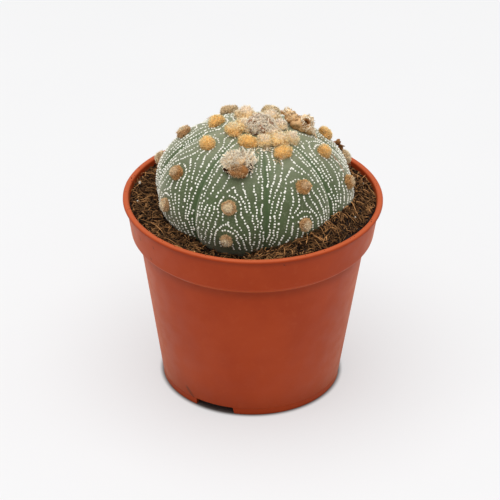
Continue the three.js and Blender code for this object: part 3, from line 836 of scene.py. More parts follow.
# %% [markdown]
# ## Areoles
#
# An areole is the small woolly cushion that a cactus has instead of a twig. Each rib carries them down its
# middle, close together at the crown and then at even steps. Growth runs in a spiral, so each rib's row is
# shifted by its own part of a step.

# %% Where the areoles stand
CROWN_STEP = 18
CROWN_START = 12
RIB_STEP = 28.5
AREOLES_PER_RIB = 4
RIB_PHASE = [0.75, 0.15, 0.5, 0.0, 0.45, 0.7, 0.85, 0.2]
CROWN_POLAR = 20.5
OLD_POLAR = 92
AREOLE_LOW_EDGE = 4
TUFT_LOW_EDGE_LIFT = 2.4
AREOLE_ABOVE_SOIL = 0.8
# Areoles that grew beside their rib's middle, by rib and step, with their azimuth and polar angle
STRAYED = {(0, 1): (-104.5, 48.5), (3, 2): (32.5, 57.5), (5, 1): (114, 47.5), (5, 2): (111, 73)}
# Withered flowers: where each stands, and how far it is turned on its place
FLOWERS = {
    "front": {"azimuth": -15.8, "polar": 40, "turn": 0},
    "crown": {"azimuth": 20, "polar": 4.5, "turn": 20},
    "right": {"azimuth": 106, "polar": 26, "turn": 38},
}
FLOWER_SEAT = 5


def rib_azimuth(rib):
    return FIRST_RIB_AZIMUTH + rib * RIB_PITCH


def above_soil(point, margin):
    return point[2] > soil_top(point) + margin


def areole_places():
    """Every areole that stands clear of the soil, as rib, azimuth, polar angle and middle."""
    places = []
    for rib in range(RIB_COUNT):
        for i in range(AREOLES_PER_RIB):
            steps = i + RIB_PHASE[rib]
            polar = CROWN_START + CROWN_STEP * min(steps, 1) + RIB_STEP * max(steps - 1, 0)
            azimuth, polar = STRAYED.get((rib, i), (rib_azimuth(rib), polar))
            low_edge = on_skin(azimuth, polar + AREOLE_LOW_EDGE, TUFT_LOW_EDGE_LIFT)
            if above_soil(low_edge, AREOLE_ABOVE_SOIL):
                places.append((rib, azimuth, polar, on_skin(azimuth, polar)))
    return places


AREOLES = areole_places()
FLOWER_MIDDLES = [on_skin(f["azimuth"], f["polar"]) for f in FLOWERS.values()]
print(len(AREOLES), "areoles stand above the soil")

# %% [markdown]
# ## Rows of white flecks
#
# What makes the plant a star cactus is its rows of tiny white hair tufts. They are not painted on: each is a
# small raised dome that catches the light. The rows run down the ribs beside the creases, meet in a point on
# the middle of the rib and bend over each areole in nested arches, always about as far apart.
#
# A pattern of dots laid over the dome could not do that, because the rows have to know where the areoles are.
# So a heading is worked out for every place on a rib, and rows are grown along it. Each new row starts one
# pitch beside a row that is there already, and ends where it comes too near another one. Growing rows beside
# rows keeps them evenly apart on a dome, where rows at fixed angles would crowd together.

# %% Flecks: sizes
FLECK_RADIUS = (0.33, 0.5)
FLECK_HEIGHT = 0.3
FLECK_STEP = 1.22
FLECK_STEP_IN_DASH = 0.74
FLECK_STEP_VARIES = (0.84, 1.16)
FLECK_FIRST_AT = 0.6
FLECK_STRAY = 0.15
FLECK_WANDER = 0.55
FLECK_WANDER_LENGTH = 2.5
FLECK_MISSING_SHARE = 0.04
DASH_THRESHOLD = 0.3
FLECK_FIRST_POLAR = 14
FLECK_LAST_POLAR = 112
# Rows: how far apart they are on top of a rib, low down and at a crease, and where the pitch changes
ROW_PITCH = 2.9
ROW_PITCH_LOW = 2.3
ROW_PITCH_AT_CREASE = 1.7
LOW_PITCH_RISE = (40, 80)
CREASE_PITCH_RISE = (0.5, 0.95)
# A new row needs this share of the pitch free at its start, and ends where less than the least is free
ROW_START_SHARE = 0.97
ROW_LEAST_SHARE = 0.62
ROW_LEAN = 40
ROW_EDGE = 0.95
ROW_WAVE = 24
ROW_WAVE_LENGTH = 9
ROW_STEP = 0.4
ROW_SHORTEST = 6
# Where rows are begun: just inside both creases, and then on a spare grid over the rib
ROW_BEGIN_INSIDE = 0.03
ROW_BEGIN_POLAR = 50
SPARE_POLARS = range(20, 110, 7)
SPARE_OFFSETS = (-16, -8, -1, 1, 8, 16)
ARCH_NEAR = 3.6
ARCH_FAR = 9
AREOLE_CLEARANCE = 3.0
FLOWER_CLEARANCE = 5.4


def degree_sizes(polar):
    """Millimetres of skin to a degree of azimuth and to a degree down the rib."""
    angle = math.radians(polar)
    rise = BODY_RISE if polar < 90 else BODY_DROP
    meridian = math.hypot(BODY_RADIUS * math.cos(angle), rise * math.sin(angle))
    return math.radians(BODY_RADIUS * math.sin(angle)), math.radians(meridian)


def rib_share(offset):
    """0 on the middle of a rib and 1 in its crease."""
    return abs(offset) / (RIB_PITCH / 2)


def row_slope(rib, offset, polar):
    """The angle between a row and its rib, in radians."""
    lean = ROW_LEAN * (1 - min(1, rib_share(offset) / ROW_EDGE))
    across, along = degree_sizes(polar)
    aside = abs(offset) * across
    above = min(((a[2] - polar) * along for a in AREOLES if a[0] == rib), key=abs)
    nearness = 1 - smooth(math.hypot(aside, above), ARCH_NEAR, ARCH_FAR)
    arch = math.degrees(math.atan2(max(above, 0), aside))
    swell = Vector((rib * 9 + offset * across / ROW_WAVE_LENGTH, polar * along / ROW_WAVE_LENGTH, 0))
    wave = ROW_WAVE * noise.noise(swell)
    return math.radians(lean + (arch - lean) * nearness + wave * min(1, 0.3 + rib_share(offset)))


def row_pitch(offset, polar):
    """How far apart rows are: wide on top of the rib, narrower low down and beside its crease."""
    middle = ROW_PITCH + (ROW_PITCH_LOW - ROW_PITCH) * float(smooth(polar, *LOW_PITCH_RISE))
    return middle + (ROW_PITCH_AT_CREASE - middle) * float(smooth(rib_share(offset), *CREASE_PITCH_RISE))


print("Rows are", round(row_pitch(0, 60), 2), "mm apart on the middle of a rib, half way down")

# %% Flecks: growing the rows


class Crowd:
    """The points of the rows so far, sorted into small cubes, so that near ones are found at once."""

    def __init__(self, cell):
        self.cell = cell
        self.cubes = {}

    def cube(self, point):
        return tuple(int(math.floor(c / self.cell)) for c in point)

    def add(self, point, row):
        self.cubes.setdefault(self.cube(point), []).append((tuple(point), row))

    def is_free(self, point, row, gap):
        i, j, k = self.cube(point)
        near = (
            other
            for x in (i - 1, i, i + 1)
            for y in (j - 1, j, j + 1)
            for z in (k - 1, k, k + 1)
            for other in self.cubes.get((x, y, z), ())
        )
        return all(r == row or math.dist(p, point) > gap for p, r in near)


def on_open_skin(offset, polar, point):
    """Whether a place is on its rib and clear of the soil, areoles and flowers."""
    return (
        rib_share(offset) < ROW_EDGE
        and FLECK_FIRST_POLAR < polar < FLECK_LAST_POLAR
        and above_soil(point, 0)
        and all(math.dist(a[3], point) > AREOLE_CLEARANCE for a in AREOLES)
        and all(math.dist(middle, point) > FLOWER_CLEARANCE for middle in FLOWER_MIDDLES)
    )


def follow_row(rib, start, way, row, crowd):
    """The places of a row from its start, down the rib if way is 1. If way is -1 it goes up, and where it
    meets the middle of the rib it goes over it and down the other side."""
    offset, polar = start
    places = []
    while True:
        side = math.copysign(1, offset)
        slope = row_slope(rib, offset, polar)
        across, along = degree_sizes(polar)
        offset += way * side * ROW_STEP * math.sin(slope) / across
        polar += way * ROW_STEP * math.cos(slope) / along
        if way < 0 and offset * side <= 0:
            way = 1
        point = on_skin(rib_azimuth(rib) + offset, polar)
        least = ROW_LEAST_SHARE * row_pitch(offset, polar)
        if not on_open_skin(offset, polar, point) or not crowd.is_free(point, row, least):
            return places
        places.append((offset, polar, point))


def grow_row(rib, start, row, crowd):
    """A whole row through a start, or nothing where there is no room for one."""
    offset, polar = start
    point = on_skin(rib_azimuth(rib) + offset, polar)
    room = ROW_START_SHARE * row_pitch(offset, polar)
    if not on_open_skin(offset, polar, point) or not crowd.is_free(point, row, room):
        return []
    up = follow_row(rib, start, -1, row, crowd)
    down = follow_row(rib, start, 1, row, crowd)
    places = up[::-1] + [(offset, polar, point)] + down
    if len(places) < ROW_SHORTEST:
        return []
    for place in places:
        crowd.add(place[2], row)
    return places


def starts_beside(rib, places):
    """Where new rows could start, one pitch to either side of a row."""
    for offset, polar, _ in places[::2]:
        side = math.copysign(1, offset)
        slope = row_slope(rib, offset, polar)
        across, along = degree_sizes(polar)
        for way in (-1, 1):
            inward = way * side * row_pitch(offset, polar) * math.cos(slope) / across
            pitch = row_pitch(offset + inward, polar)
            aside = way * side * pitch * math.cos(slope) / across
            yield offset + aside, polar - way * pitch * math.sin(slope) / along


def grow_rows():
    """All rows, rib by rib, each as a list of places on its rib. Growth starts beside both creases, and then
    once more wherever there is still room."""
    crowd, rows = Crowd(ROW_PITCH), []
    edge = RIB_PITCH / 2 * (ROW_EDGE - ROW_BEGIN_INSIDE)
    spare = [(offset, polar) for polar in SPARE_POLARS for offset in SPARE_OFFSETS]
    for rib in range(RIB_COUNT):
        for first in [(-edge, ROW_BEGIN_POLAR), (edge, ROW_BEGIN_POLAR), *spare]:
            waiting = [first]
            while waiting:
                places = grow_row(rib, waiting.pop(0), len(rows), crowd)
                if places:
                    rows.append((rib, places))
                    waiting += starts_beside(rib, places)
    return rows


# %% Flecks: places along the rows


def fleck_places(draw):
    """Places along every row, at steps that are shorter where the flecks run together in a dash."""
    found = []
    for rib, places in grow_rows():
        length = np.arange(len(places)) * ROW_STEP
        offsets, polars = [p[0] for p in places], [p[1] for p in places]
        at = draw.uniform(0, FLECK_FIRST_AT)
        while at < length[-1]:
            offset, polar = np.interp(at, length, offsets), np.interp(at, length, polars)
            wander = FLECK_WANDER * noise.noise(Vector((at / FLECK_WANDER_LENGTH, len(found) * 0.001, rib)))
            if draw.random() > FLECK_MISSING_SHARE:
                found.append((rib_azimuth(rib) + offset + wander / degree_sizes(polar)[0], polar))
            in_dash = noise.noise(Vector((rib * 5, offset / 3, polar / 4))) > DASH_THRESHOLD
            at += (FLECK_STEP_IN_DASH if in_dash else FLECK_STEP) * draw.uniform(*FLECK_STEP_VARIES)
    return found


# %% Flecks: modelling and finish
# A fleck's width and length are its radius times a share in these ranges
FLECK_WIDTHS = (0.85, 1.15)
FLECK_LENGTHS = (0.9, 1.25)
FLECK_LIFT = 0.02
FLECK_TURN = 40


def model_flecks():
    """A low dome at each place, none quite like the next."""
    whole, draw = bmesh.new(), random.Random(9)
    dome = Copies(ball(1), whole)
    places = fleck_places(draw)
    for azimuth, polar in places:
        radius = draw.uniform(*FLECK_RADIUS)
        size = [radius * draw.uniform(*FLECK_WIDTHS), radius * draw.uniform(*FLECK_LENGTHS), FLECK_HEIGHT]
        spot = Spot(azimuth, polar, FLECK_LIFT, draw.uniform(-FLECK_TURN, FLECK_TURN))
        stray = [draw.uniform(-FLECK_STRAY, FLECK_STRAY), draw.uniform(-FLECK_STRAY, FLECK_STRAY), 0]
        dome.add(spot.world(dome.points * size + stray), draw.random(), polar / 180)
    print(len(places), "flecks")
    return whole


def fleck_hair():
    material, tree, shader = start_material("fleck_hair")
    colour = use_group(tree, HAIR_COLOUR, {
        "Root": tint(255, 253, 244), "Tip": tint(250, 246, 232), "Unevenness": 0.1,
    })["Color"]
    join(tree, colour, shader, "Base Color")
    shader.inputs["Roughness"].default_value = 0.9
    bump(tree, shader, grain(tree, 0.2, 3.0), 0.06)
    return material


make_piece("white_flecks", model_flecks(), fleck_hair())

# %% [markdown]
# ## Wool
#
# The wool on the areoles is a felt of short hairs. Seen from a step away it is a soft cushion with a fuzzy
# edge, so each lump here is a rough core with some hundred short hairs standing out of it. Hairs alone would
# need thousands to hide the skin below, and a core alone would look like putty. The youngest wool, at the
# crown, is cream to ochre. Down the rib it turns brown and then grey, and the cushions wear down.

# %% Wool: one lump
WOOL_SUNK = 0.35
GOLDEN_ANGLE = math.radians(137.5)
HAIR_JOINTS = 2
# Felt has large swells and small ones, whose height is a share of the large ones' height
FELT_SWELL = 0.75
FELT_SMALL_SWELL = 0.28
FELT_SMALL_SHARE = 0.4
# The core's size as a share of the lump's, and its shade and place along a hair, for the finish
CORE_SHARE = 0.93
CORE_SHADE = 0.4
CORE_ALONG = 0.15
# Hairs: the lowest direction they stand in, how far they stray, and how their lengths and widths vary
LOWEST_HAIR = -0.4
HAIR_STRAY = 0.7
HAIR_LENGTHS = (0.45, 1.15)
HAIR_WIDTHS = (0.7, 1.2)
HAIR_BEND = 0.3
HAIR_TAPER = np.array([1, 0.75, 0.12])
# How high up a lump its rim's tone starts to turn into its middle's, and where it has done so
MIDDLE_RISE = (0.55, 0.9)


def sphere_directions(count, lowest, draw):
    """Directions spread evenly over a ball, down to a height of lowest."""
    heights = 1 - (np.arange(count) + 0.5) / count * (1 - lowest)
    angles = np.arange(count) * GOLDEN_ANGLE + draw.uniform(0, math.tau)
    flat = np.sqrt(1 - heights**2)
    return np.stack([flat * np.cos(angles), flat * np.sin(angles), heights], axis=-1)


def felt_radius(directions, seed, roughness):
    """How far a rough ball reaches in each direction."""
    large = roughness * ripple(directions, FELT_SWELL, seed)
    return 1 + large + FELT_SMALL_SHARE * roughness * ripple(directions, FELT_SMALL_SWELL, seed)


def draws(draw, count, low, high):
    return np.array([draw.uniform(low, high) for _ in range(count)])


def add_hair(hair, spot, root, aim, length, thick, draw, look):
    """A tapering lock of hair, bent a little. Look is its shade, its root's and tip's place, and its tone."""
    shade, low, high, tone = look
    bend = draws(draw, 3, -HAIR_BEND, HAIR_BEND) * length
    path = np.array([root - 0.25 * aim, root + 0.5 * length * aim, root + length * aim + bend])
    points = along_path(hair.points, path, thick * HAIR_TAPER)
    hair.add(spot.world(points), shade, low + (high - low) * hair.points[:, 2], tone)


def wool_lump(core, hair, spot, half, tones, seed, hairs, length, thick, roughness):
    """Adds one lump: a core, and locks of hair that stand out of it. Tones are its rim's and its middle's."""
    draw = random.Random(seed)
    inside = half * CORE_SHARE
    rim, middle = tones

    def tone(height):
        return rim + (middle - rim) * smooth(height, *MIDDLE_RISE)

    reach = felt_radius(core.points, seed, roughness)[:, None]
    core.add(spot.world(core.points * reach * inside), CORE_SHADE, CORE_ALONG, tone(core.points[:, 2]))
    directions = sphere_directions(hairs, LOWEST_HAIR, draw)
    reach = felt_radius(directions, seed, roughness)[:, None]
    for direction, root in zip(directions, directions * reach * inside):
        aim = unit(unit(direction / half) + draws(draw, 3, -HAIR_STRAY, HAIR_STRAY))
        # Outer hairs take more pale tip colour and hairs near the skin more dark root colour: painted light
        # and shade
        level = 0.5 + 0.5 * direction[2]
        look = (draw.random(), 0.2 + 0.3 * level, 0.65 + 0.35 * level, tone(direction[2]))
        grown = length * draw.uniform(*HAIR_LENGTHS)
        add_hair(hair, spot, root, aim, grown, thick * draw.uniform(*HAIR_WIDTHS), draw, look)


def seated(azimuth, polar, size, turn=0.0):
    """A lump's spot on the skin and its three half sizes, for a lump of that width, length and height."""
    width, length, height = size
    half_height = height / (2 - 2 * WOOL_SUNK)
    return Spot(azimuth, polar, height - half_height, turn), np.array([width, length, half_height])


# %% Wool: finish


def ramp(tree, value, stops):
    """Colours at given values, and blends of them between. Stops is a list of (value, colour)."""
    made = node(tree, "ValToRGB", {0: value})
    elements = made.color_ramp.elements
    elements[0].position, elements[0].color = stops[0]
    elements[1].position, elements[1].color = stops[-1]
    for position, colour in stops[1:-1]:
        elements.new(position).color = colour
    return made.outputs[0]


def toned_hair(name, tones, unevenness):
    """Hair whose root and tip colours change with its tone. Tones is a list of (tone, root, tip)."""
    material, tree, shader = start_material(name)
    tone = look_parts(tree)[2]
    colour = use_group(tree, HAIR_COLOUR, {
        "Root": ramp(tree, tone, [(value, root) for value, root, _ in tones]),
        "Tip": ramp(tree, tone, [(value, tip) for value, _, tip in tones]),
        "Unevenness": unevenness,
    })["Color"]
    # Darker patches that paint the shade in the gaps between the locks of hair
    painted_gap_shade = maths(tree, "MULTIPLY", patches(tree, 0.8, 0.55, 0.35), 0.1)
    join(tree, blend(tree, painted_gap_shade, colour, tint(150, 84, 30)), shader, "Base Color")
    shader.inputs["Roughness"].default_value = 0.95
    shader.inputs["Specular IOR Level"].default_value = 0.1
    return material


# %% [markdown]
# ### Tufts down the ribs
#
# No two tufts are alike. Some have a smaller lobe at their side, where a bud was, and those halfway down have
# a pale middle with a brown rim, because their oldest hair stands in the middle and has bleached.

# %% Tufts: modelling
YOUNG_TUFT = np.array([4.15, 3.0, 3.3])
OLD_TUFT = np.array([2.2, 2.5, 2.4])
TUFT_FELT = {"hairs": 460, "length": 0.75, "thick": 0.16, "roughness": 0.25}
LOBE_FELT = {"hairs": 150, "length": 0.6, "thick": 0.13, "roughness": 0.2}
TUFT_TURN = 18
# The tones of a tuft's rim and middle, by rib and number: 0 is ochre, 0.5 brown and 1 bleached
TUFT_TONES = {
    (0, 0): (0.05, 0.0), (0, 1): (0.6, 0.95), (0, 2): (0.85, 1.0), (1, 1): (0.15, 0.0), (1, 2): (0.5, 0.8),
    (1, 3): (0.65, 1.1), (2, 0): (0.05, 0.0), (2, 2): (0.6, 1.1), (2, 3): (0.65, 1.1), (3, 1): (0.1, 0.0),
    (3, 2): (0.4, 0.75), (3, 3): (0.58, 0.9), (4, 1): (0.2, 0.05), (4, 2): (0.4, 0.8), (5, 1): (0.15, 0.1),
    (5, 2): (0.9, 1.0), (6, 0): (1.0, 1.1), (7, 1): (0.9, 0.9),
}
# Lobes beside a tuft: rib and number of the tuft, then how far off across, up and out, and its half size
LOBES = {
    (0, 1): (0.6, 2.3, 0.4, 1.15),
    (0, 0): (-2.0, 0.5, 0.3, 1.7),
    (1, 1): (2.0, 0.6, 0.2, 1.7),
    (1, 3): (0.7, 1.9, 0.1, 1.1),
    (3, 3): (0.3, 1.5, 0.5, 1.2),
    (4, 1): (1.2, -1.2, 0.2, 1.6),
    (4, 2): (1.3, 0.9, 1.0, 0.8),
    (5, 1): (-0.9, 2.5, 0.9, 1.3),
    (7, 1): (-2.1, -0.2, 0.0, 1.6),
}


def has_tuft(areole):
    """Whether an areole has a tuft of its own: not in the crown's wool, nor under a flower."""
    return areole[2] > CROWN_POLAR and min(math.dist(m, areole[3]) for m in FLOWER_MIDDLES) > FLOWER_SEAT


def add_tuft(core, hair, areole, seed):
    """Adds an areole's tuft and the lobe beside it."""
    rib, azimuth, polar, _ = areole
    age = min(max((polar - CROWN_POLAR) / (OLD_POLAR - CROWN_POLAR), 0), 1)
    size = YOUNG_TUFT + (OLD_TUFT - YOUNG_TUFT) * age
    turn = TUFT_TURN * noise.noise(Vector((seed * 1.7, 3, 0)))
    spot, half = seated(azimuth, polar, size, turn)
    number = [a for a in AREOLES if a[0] == rib].index(areole)
    tones = TUFT_TONES.get((rib, number), (0.8 * age, age))
    wool_lump(core, hair, spot, half, tones, seed, **TUFT_FELT)
    if (rib, number) in LOBES:
        *place, lobe = LOBES[rib, number]
        spot.origin = spot.world(np.array(place))
        wool_lump(core, hair, spot, half * lobe / half.max(), tones, seed + 50, **LOBE_FELT)


def model_tufts():
    whole = bmesh.new()
    core, hair = Copies(ball(3), whole), Copies(straight_strand(3, HAIR_JOINTS), whole)
    for seed, areole in enumerate(filter(has_tuft, AREOLES)):
        add_tuft(core, hair, areole, seed + 1)
    return whole


TUFT_WOOL = toned_hair(
    "tuft_wool",
    [
        (0.0, tint(248, 180, 82), tint(255, 238, 180)),
        (0.5, tint(146, 92, 44), tint(228, 182, 124)),
        (1.0, tint(206, 174, 124), tint(255, 242, 212)),
    ],
    0.7,
)
make_piece("areole_tufts", model_tufts(), TUFT_WOOL)

# %% [markdown]
# ### Wool of the crown
#
# At the crown the youngest areoles touch, and their wool has merged in pale lumps round the flowers. The
# lumps keep the CAD model's places and sizes, and their hair is longer, so that they run into each other.

# %% Crown wool: modelling
# Each lump's azimuth, polar angle, half width, half length, height, and how ochre it is
CROWN_WOOL = [
    (0, 2, 7.5, 7.0, 3.8, 0.2),
    (-148, 13.8, 4.2, 4.2, 4.0, 0.15),
    (-58, 16.4, 3.9, 3.1, 3.6, 0.7),
    (-85, 8, 3.6, 3.4, 2.6, 0.3),
    (10, 20, 3.4, 2.8, 2.9, 0.35),
    (36, 20.5, 4.4, 3.3, 3.5, 0.45),
    (57, 23, 2.9, 2.8, 3.2, 0.25),
    (34, 12, 4.4, 3.8, 3.0, 0.1),
    (95, 12, 3.6, 3.2, 2.4, 0.1),
    (145, 12.5, 3.6, 3.8, 3.2, 0.2),
]
CROWN_WOOL_FELT = {"hairs": 560, "length": 1.15, "thick": 0.16, "roughness": 0.35}
# A lump's rim is more ochre than its number says, and its middle is less
RIM_MORE_OCHRE = 0.2
MIDDLE_OCHRE_SHARE = 0.6


def model_crown_wool():
    whole = bmesh.new()
    core, hair = Copies(ball(3), whole), Copies(straight_strand(3, HAIR_JOINTS), whole)
    for i, (azimuth, polar, *size, ochre) in enumerate(CROWN_WOOL):
        spot, half = seated(azimuth, polar, size)
        tones = (ochre + RIM_MORE_OCHRE, MIDDLE_OCHRE_SHARE * ochre)
        wool_lump(core, hair, spot, half, tones, i + 101, **CROWN_WOOL_FELT)
    return whole


CROWN_FELT = toned_hair(
    "crown_felt",
    [
        (0.0, tint(255, 226, 190), tint(255, 248, 238)),
        (0.5, tint(255, 210, 134), tint(255, 245, 208)),
        (1.0, tint(248, 178, 80), tint(255, 234, 172)),
    ],
    0.5,
)
make_piece("crown_felt", model_crown_wool(), CROWN_FELT, ["crown_wool"])

# %% [markdown]
# ## Withered flowers
#
# Three flowers have dried where they stood. What is left of each is a crumbly lump with an open throat, a
# fringe of curled petals as thin as paper, and tangled hair that has bleached to cream. The lump is a rough
# ball with its throat pushed in and darkened with painted shade. A petal is a narrow grid that is given a
# thickness, then bent, rolled and torn. The hair is the wool's strand again, but long and curly.

# %% Flowers: petals and curls
PETAL_THICKNESS = 0.16
CURL_JOINTS = 5
# A direction that no flower's ring has as its axis, from which the ring's sideways is worked out
RING_REFERENCE = [0.3, 0.2, 0.9]


def flat_petal(columns, rows):
    """A flat strip with x across it from -1 to 1, and z along it from 0 to 1."""
    bm = bmesh.new()
    bmesh.ops.create_grid(bm, x_segments=columns, y_segments=rows, size=1)
    bmesh.ops.rotate(bm, verts=bm.verts, matrix=Matrix.Rotation(math.pi / 2, 3, "X"))
    bmesh.ops.scale(bm, verts=bm.verts, vec=(1, 1, 0.5))
    bmesh.ops.translate(bm, verts=bm.verts, vec=(0, 0, 0.5))
    bmesh.ops.solidify(bm, geom=bm.faces, thickness=PETAL_THICKNESS)
    return bm


def curled_petal(points, length, width, roll, droop, seed):
    """Bends, rolls and tears a flat petal. It leaves its root along Z and droops towards Y."""
    along = points[:, 2]
    breadth = width * (0.35 + 1.8 * along * (1 - along) + 0.15 * along)
    torn = 1 + 0.5 * along * ripple(points, 0.35, seed)
    angle = points[:, 0] * roll
    x = breadth * torn * np.sin(angle) / roll
    y = breadth * (1 - np.cos(angle)) / roll + points[:, 1] + droop * length * along**2
    z = length * along * (1 - 0.35 * abs(droop) * along) * torn
    return np.stack([x, y, z], axis=-1)


def curl_path(root, aim, length, size, draw):
    """A path that leaves its root in a direction and curls."""
    share = np.linspace(0, 1, CURL_JOINTS + 1)[:, None]
    aside = unit(np.cross(aim, draws(draw, 3, -1, 1)))
    other = np.cross(aim, aside)
    turns = draw.uniform(0.6, 1.6) * math.tau
    phase = draw.uniform(0, math.tau)
    wave = np.sin(share * turns + phase) * aside + np.cos(share * turns * 0.8 + phase) * other
    start = math.sin(phase) * aside + math.cos(phase) * other
    return root + aim * length * share * (1 - 0.25 * share) + size * share**0.5 * (wave - start)


def ring_aims(axis, count, openness, draw):
    """Directions round an axis, opened out from it by an angle."""
    axis = unit(np.array(axis, float))
    aside = unit(np.cross(axis, RING_REFERENCE))
    other = np.cross(axis, aside)
    for i in range(count):
        around = math.tau * (i + draw.uniform(-0.3, 0.3)) / count
        tilt = math.radians(openness * draw.uniform(0.8, 1.2))
        yield axis * math.cos(tilt) + (aside * math.cos(around) + other * math.sin(around)) * math.sin(tilt)


# %% Flowers: a crumbly lump, petals, flakes and hair
FLOWER_ROUGHNESS = 0.42
# How near a direction has to be to the throat's for the ball to be pushed in and darkened with painted shade
# there, and how deep it goes
THROAT_EDGE = (0.55, 0.85)
THROAT_DEPTH = 0.9
CURL_TAPER = np.linspace(1, 0.35, CURL_JOINTS + 1)
# Curls are darker in stains of this size, by up to this much of their tone
STAIN_SIZE = 1.6
STAIN_TONE = 0.35


class Flower:
    """The parts of one withered flower, added to one bmesh. Tone is 0 for bleached and 1 for brown."""

    def __init__(self, flower, seed):
        self.whole = bmesh.new()
        self.lump = Copies(ball(4), self.whole)
        self.petal = Copies(flat_petal(3, 6), self.whole)
        self.flake = Copies(flat_petal(2, 2), self.whole)
        self.curl = Copies(straight_strand(3, CURL_JOINTS), self.whole)
        self.draw = random.Random(seed)
        self.seed = seed
        self.spot = Spot(flower["azimuth"], flower["polar"], 0.0, flower["turn"])

    def add_lump(self, centre, half, tone, paleness, throat=None):
        """A rough ball. A throat is a direction in which the ball is pushed in and darkened with painted
        shade.
        """
        points = self.lump.points
        reach = felt_radius(points, self.seed + centre[0], FLOWER_ROUGHNESS)
        along = paleness * (0.5 + 0.5 * points[:, 2] + 0.3 * ripple(points, 0.3, self.seed))
        if throat is not None:
            facing = smooth(points @ unit(np.array(throat, float)), *THROAT_EDGE)
            reach = reach * (1 - THROAT_DEPTH * facing)
            # Towards the throat the lump loses its paleness and takes the darkest tone: painted shade in the
            # hollow
            along = along * (1 - facing)
            tone = tone + (1 - tone) * facing
        placed = points * reach[:, None] * half + centre
        self.lump.add(self.spot.world(placed), 0.5, along, tone)

    def add_sheet(self, sheet, root, aim, length, width, tone, roll):
        """A petal or a flake."""
        draw = self.draw
        droop = draw.uniform(-0.6, 0.7)
        bent = curled_petal(sheet.points, length, width, roll, droop, draw.uniform(0, 99))
        turn = Vector((0, 0, 1)).rotation_difference(Vector(aim)).to_matrix()
        spin = Matrix.Rotation(draw.uniform(0, math.tau), 3, "Z")
        placed = bent @ np.array(turn @ spin).T + root
        sheet.add(self.spot.world(placed), draw.random(), 0.25 + 0.75 * sheet.points[:, 2], tone)

    def add_petals(self, count, centre, half, axis, openness, length, width, tone):
        """Petals that stand in a ring on a ball round a centre."""
        for aim in ring_aims(axis, count, openness, self.draw):
            grown = length * self.draw.uniform(0.6, 1.1)
            roll = self.draw.uniform(0.7, 1.8)
            self.add_sheet(self.petal, centre + aim * half, aim, grown, width, tone, roll)

    def add_bud(self, count, base, tip, radius, width, tone):
        """Papery petals that stand in a ring and meet in a point."""
        base, tip = np.array(base, float), np.array(tip, float)
        for around in ring_aims(tip - base, count, 90, self.draw):
            root = base + around * radius
            reach = np.linalg.norm(tip - root) * self.draw.uniform(0.75, 1.0)
            roll = self.draw.uniform(0.5, 1.1)
            self.add_sheet(self.petal, root, unit(tip - root), reach, width, tone, roll)

    def add_flakes(self, count, centre, half, length, tone):
        """Short flakes that stand out of a ball all round."""
        for direction in sphere_directions(count, -0.2, self.draw):
            aim = unit(0.5 * direction + draws(self.draw, 3, -0.9, 0.9))
            grown = length * self.draw.uniform(0.4, 1.1)
            root = np.array(centre) + direction * half * 0.95
            self.add_sheet(self.flake, root, aim, grown, 0.5 * grown, tone, 0.8)

    def add_curls(
        self, count, centre, half, length, size, tone, sweep=(0, 0, 0), lowest=0.0, stray=0.6, thick=0.12
    ):
        """Curly hairs that leave a ball round a centre. Sweep is a direction that they all lean in."""
        draw = self.draw
        for direction in sphere_directions(count, lowest, draw):
            root = np.array(centre) + direction * half * draw.uniform(0.8, 1.0)
            aim = unit(direction + draws(draw, 3, -stray, stray) + np.array(sweep))
            path = curl_path(root, aim, length * draw.uniform(0.45, 1.1), size * draw.uniform(0.5, 1.1), draw)
            radii = thick * draw.uniform(0.75, 1.25) * CURL_TAPER
            points = self.spot.world(along_path(self.curl.points, path, radii))
            swell = noise.noise(Vector(root / STAIN_SIZE) + Vector((self.seed, 0, 0)))
            stained = tone + STAIN_TONE * max(0, swell)
            self.curl.add(points, draw.random(), 0.2 + 0.8 * self.curl.points[:, 2], stained)


# %% [markdown]
# ### The front flower
#
# The largest one leans down the rib. Bleached hair stands out all over its upper side and is swept down to
# the left, a few pale petal shreds stand to the right over a dark lump that paints the shade between them,
# and below them the flower's dried tube shows, brown and hairy, with its hollow darkened as painted shade. A
# dark lump below the left edge paints the shadow that this edge casts on the skin.

# %% Front flower


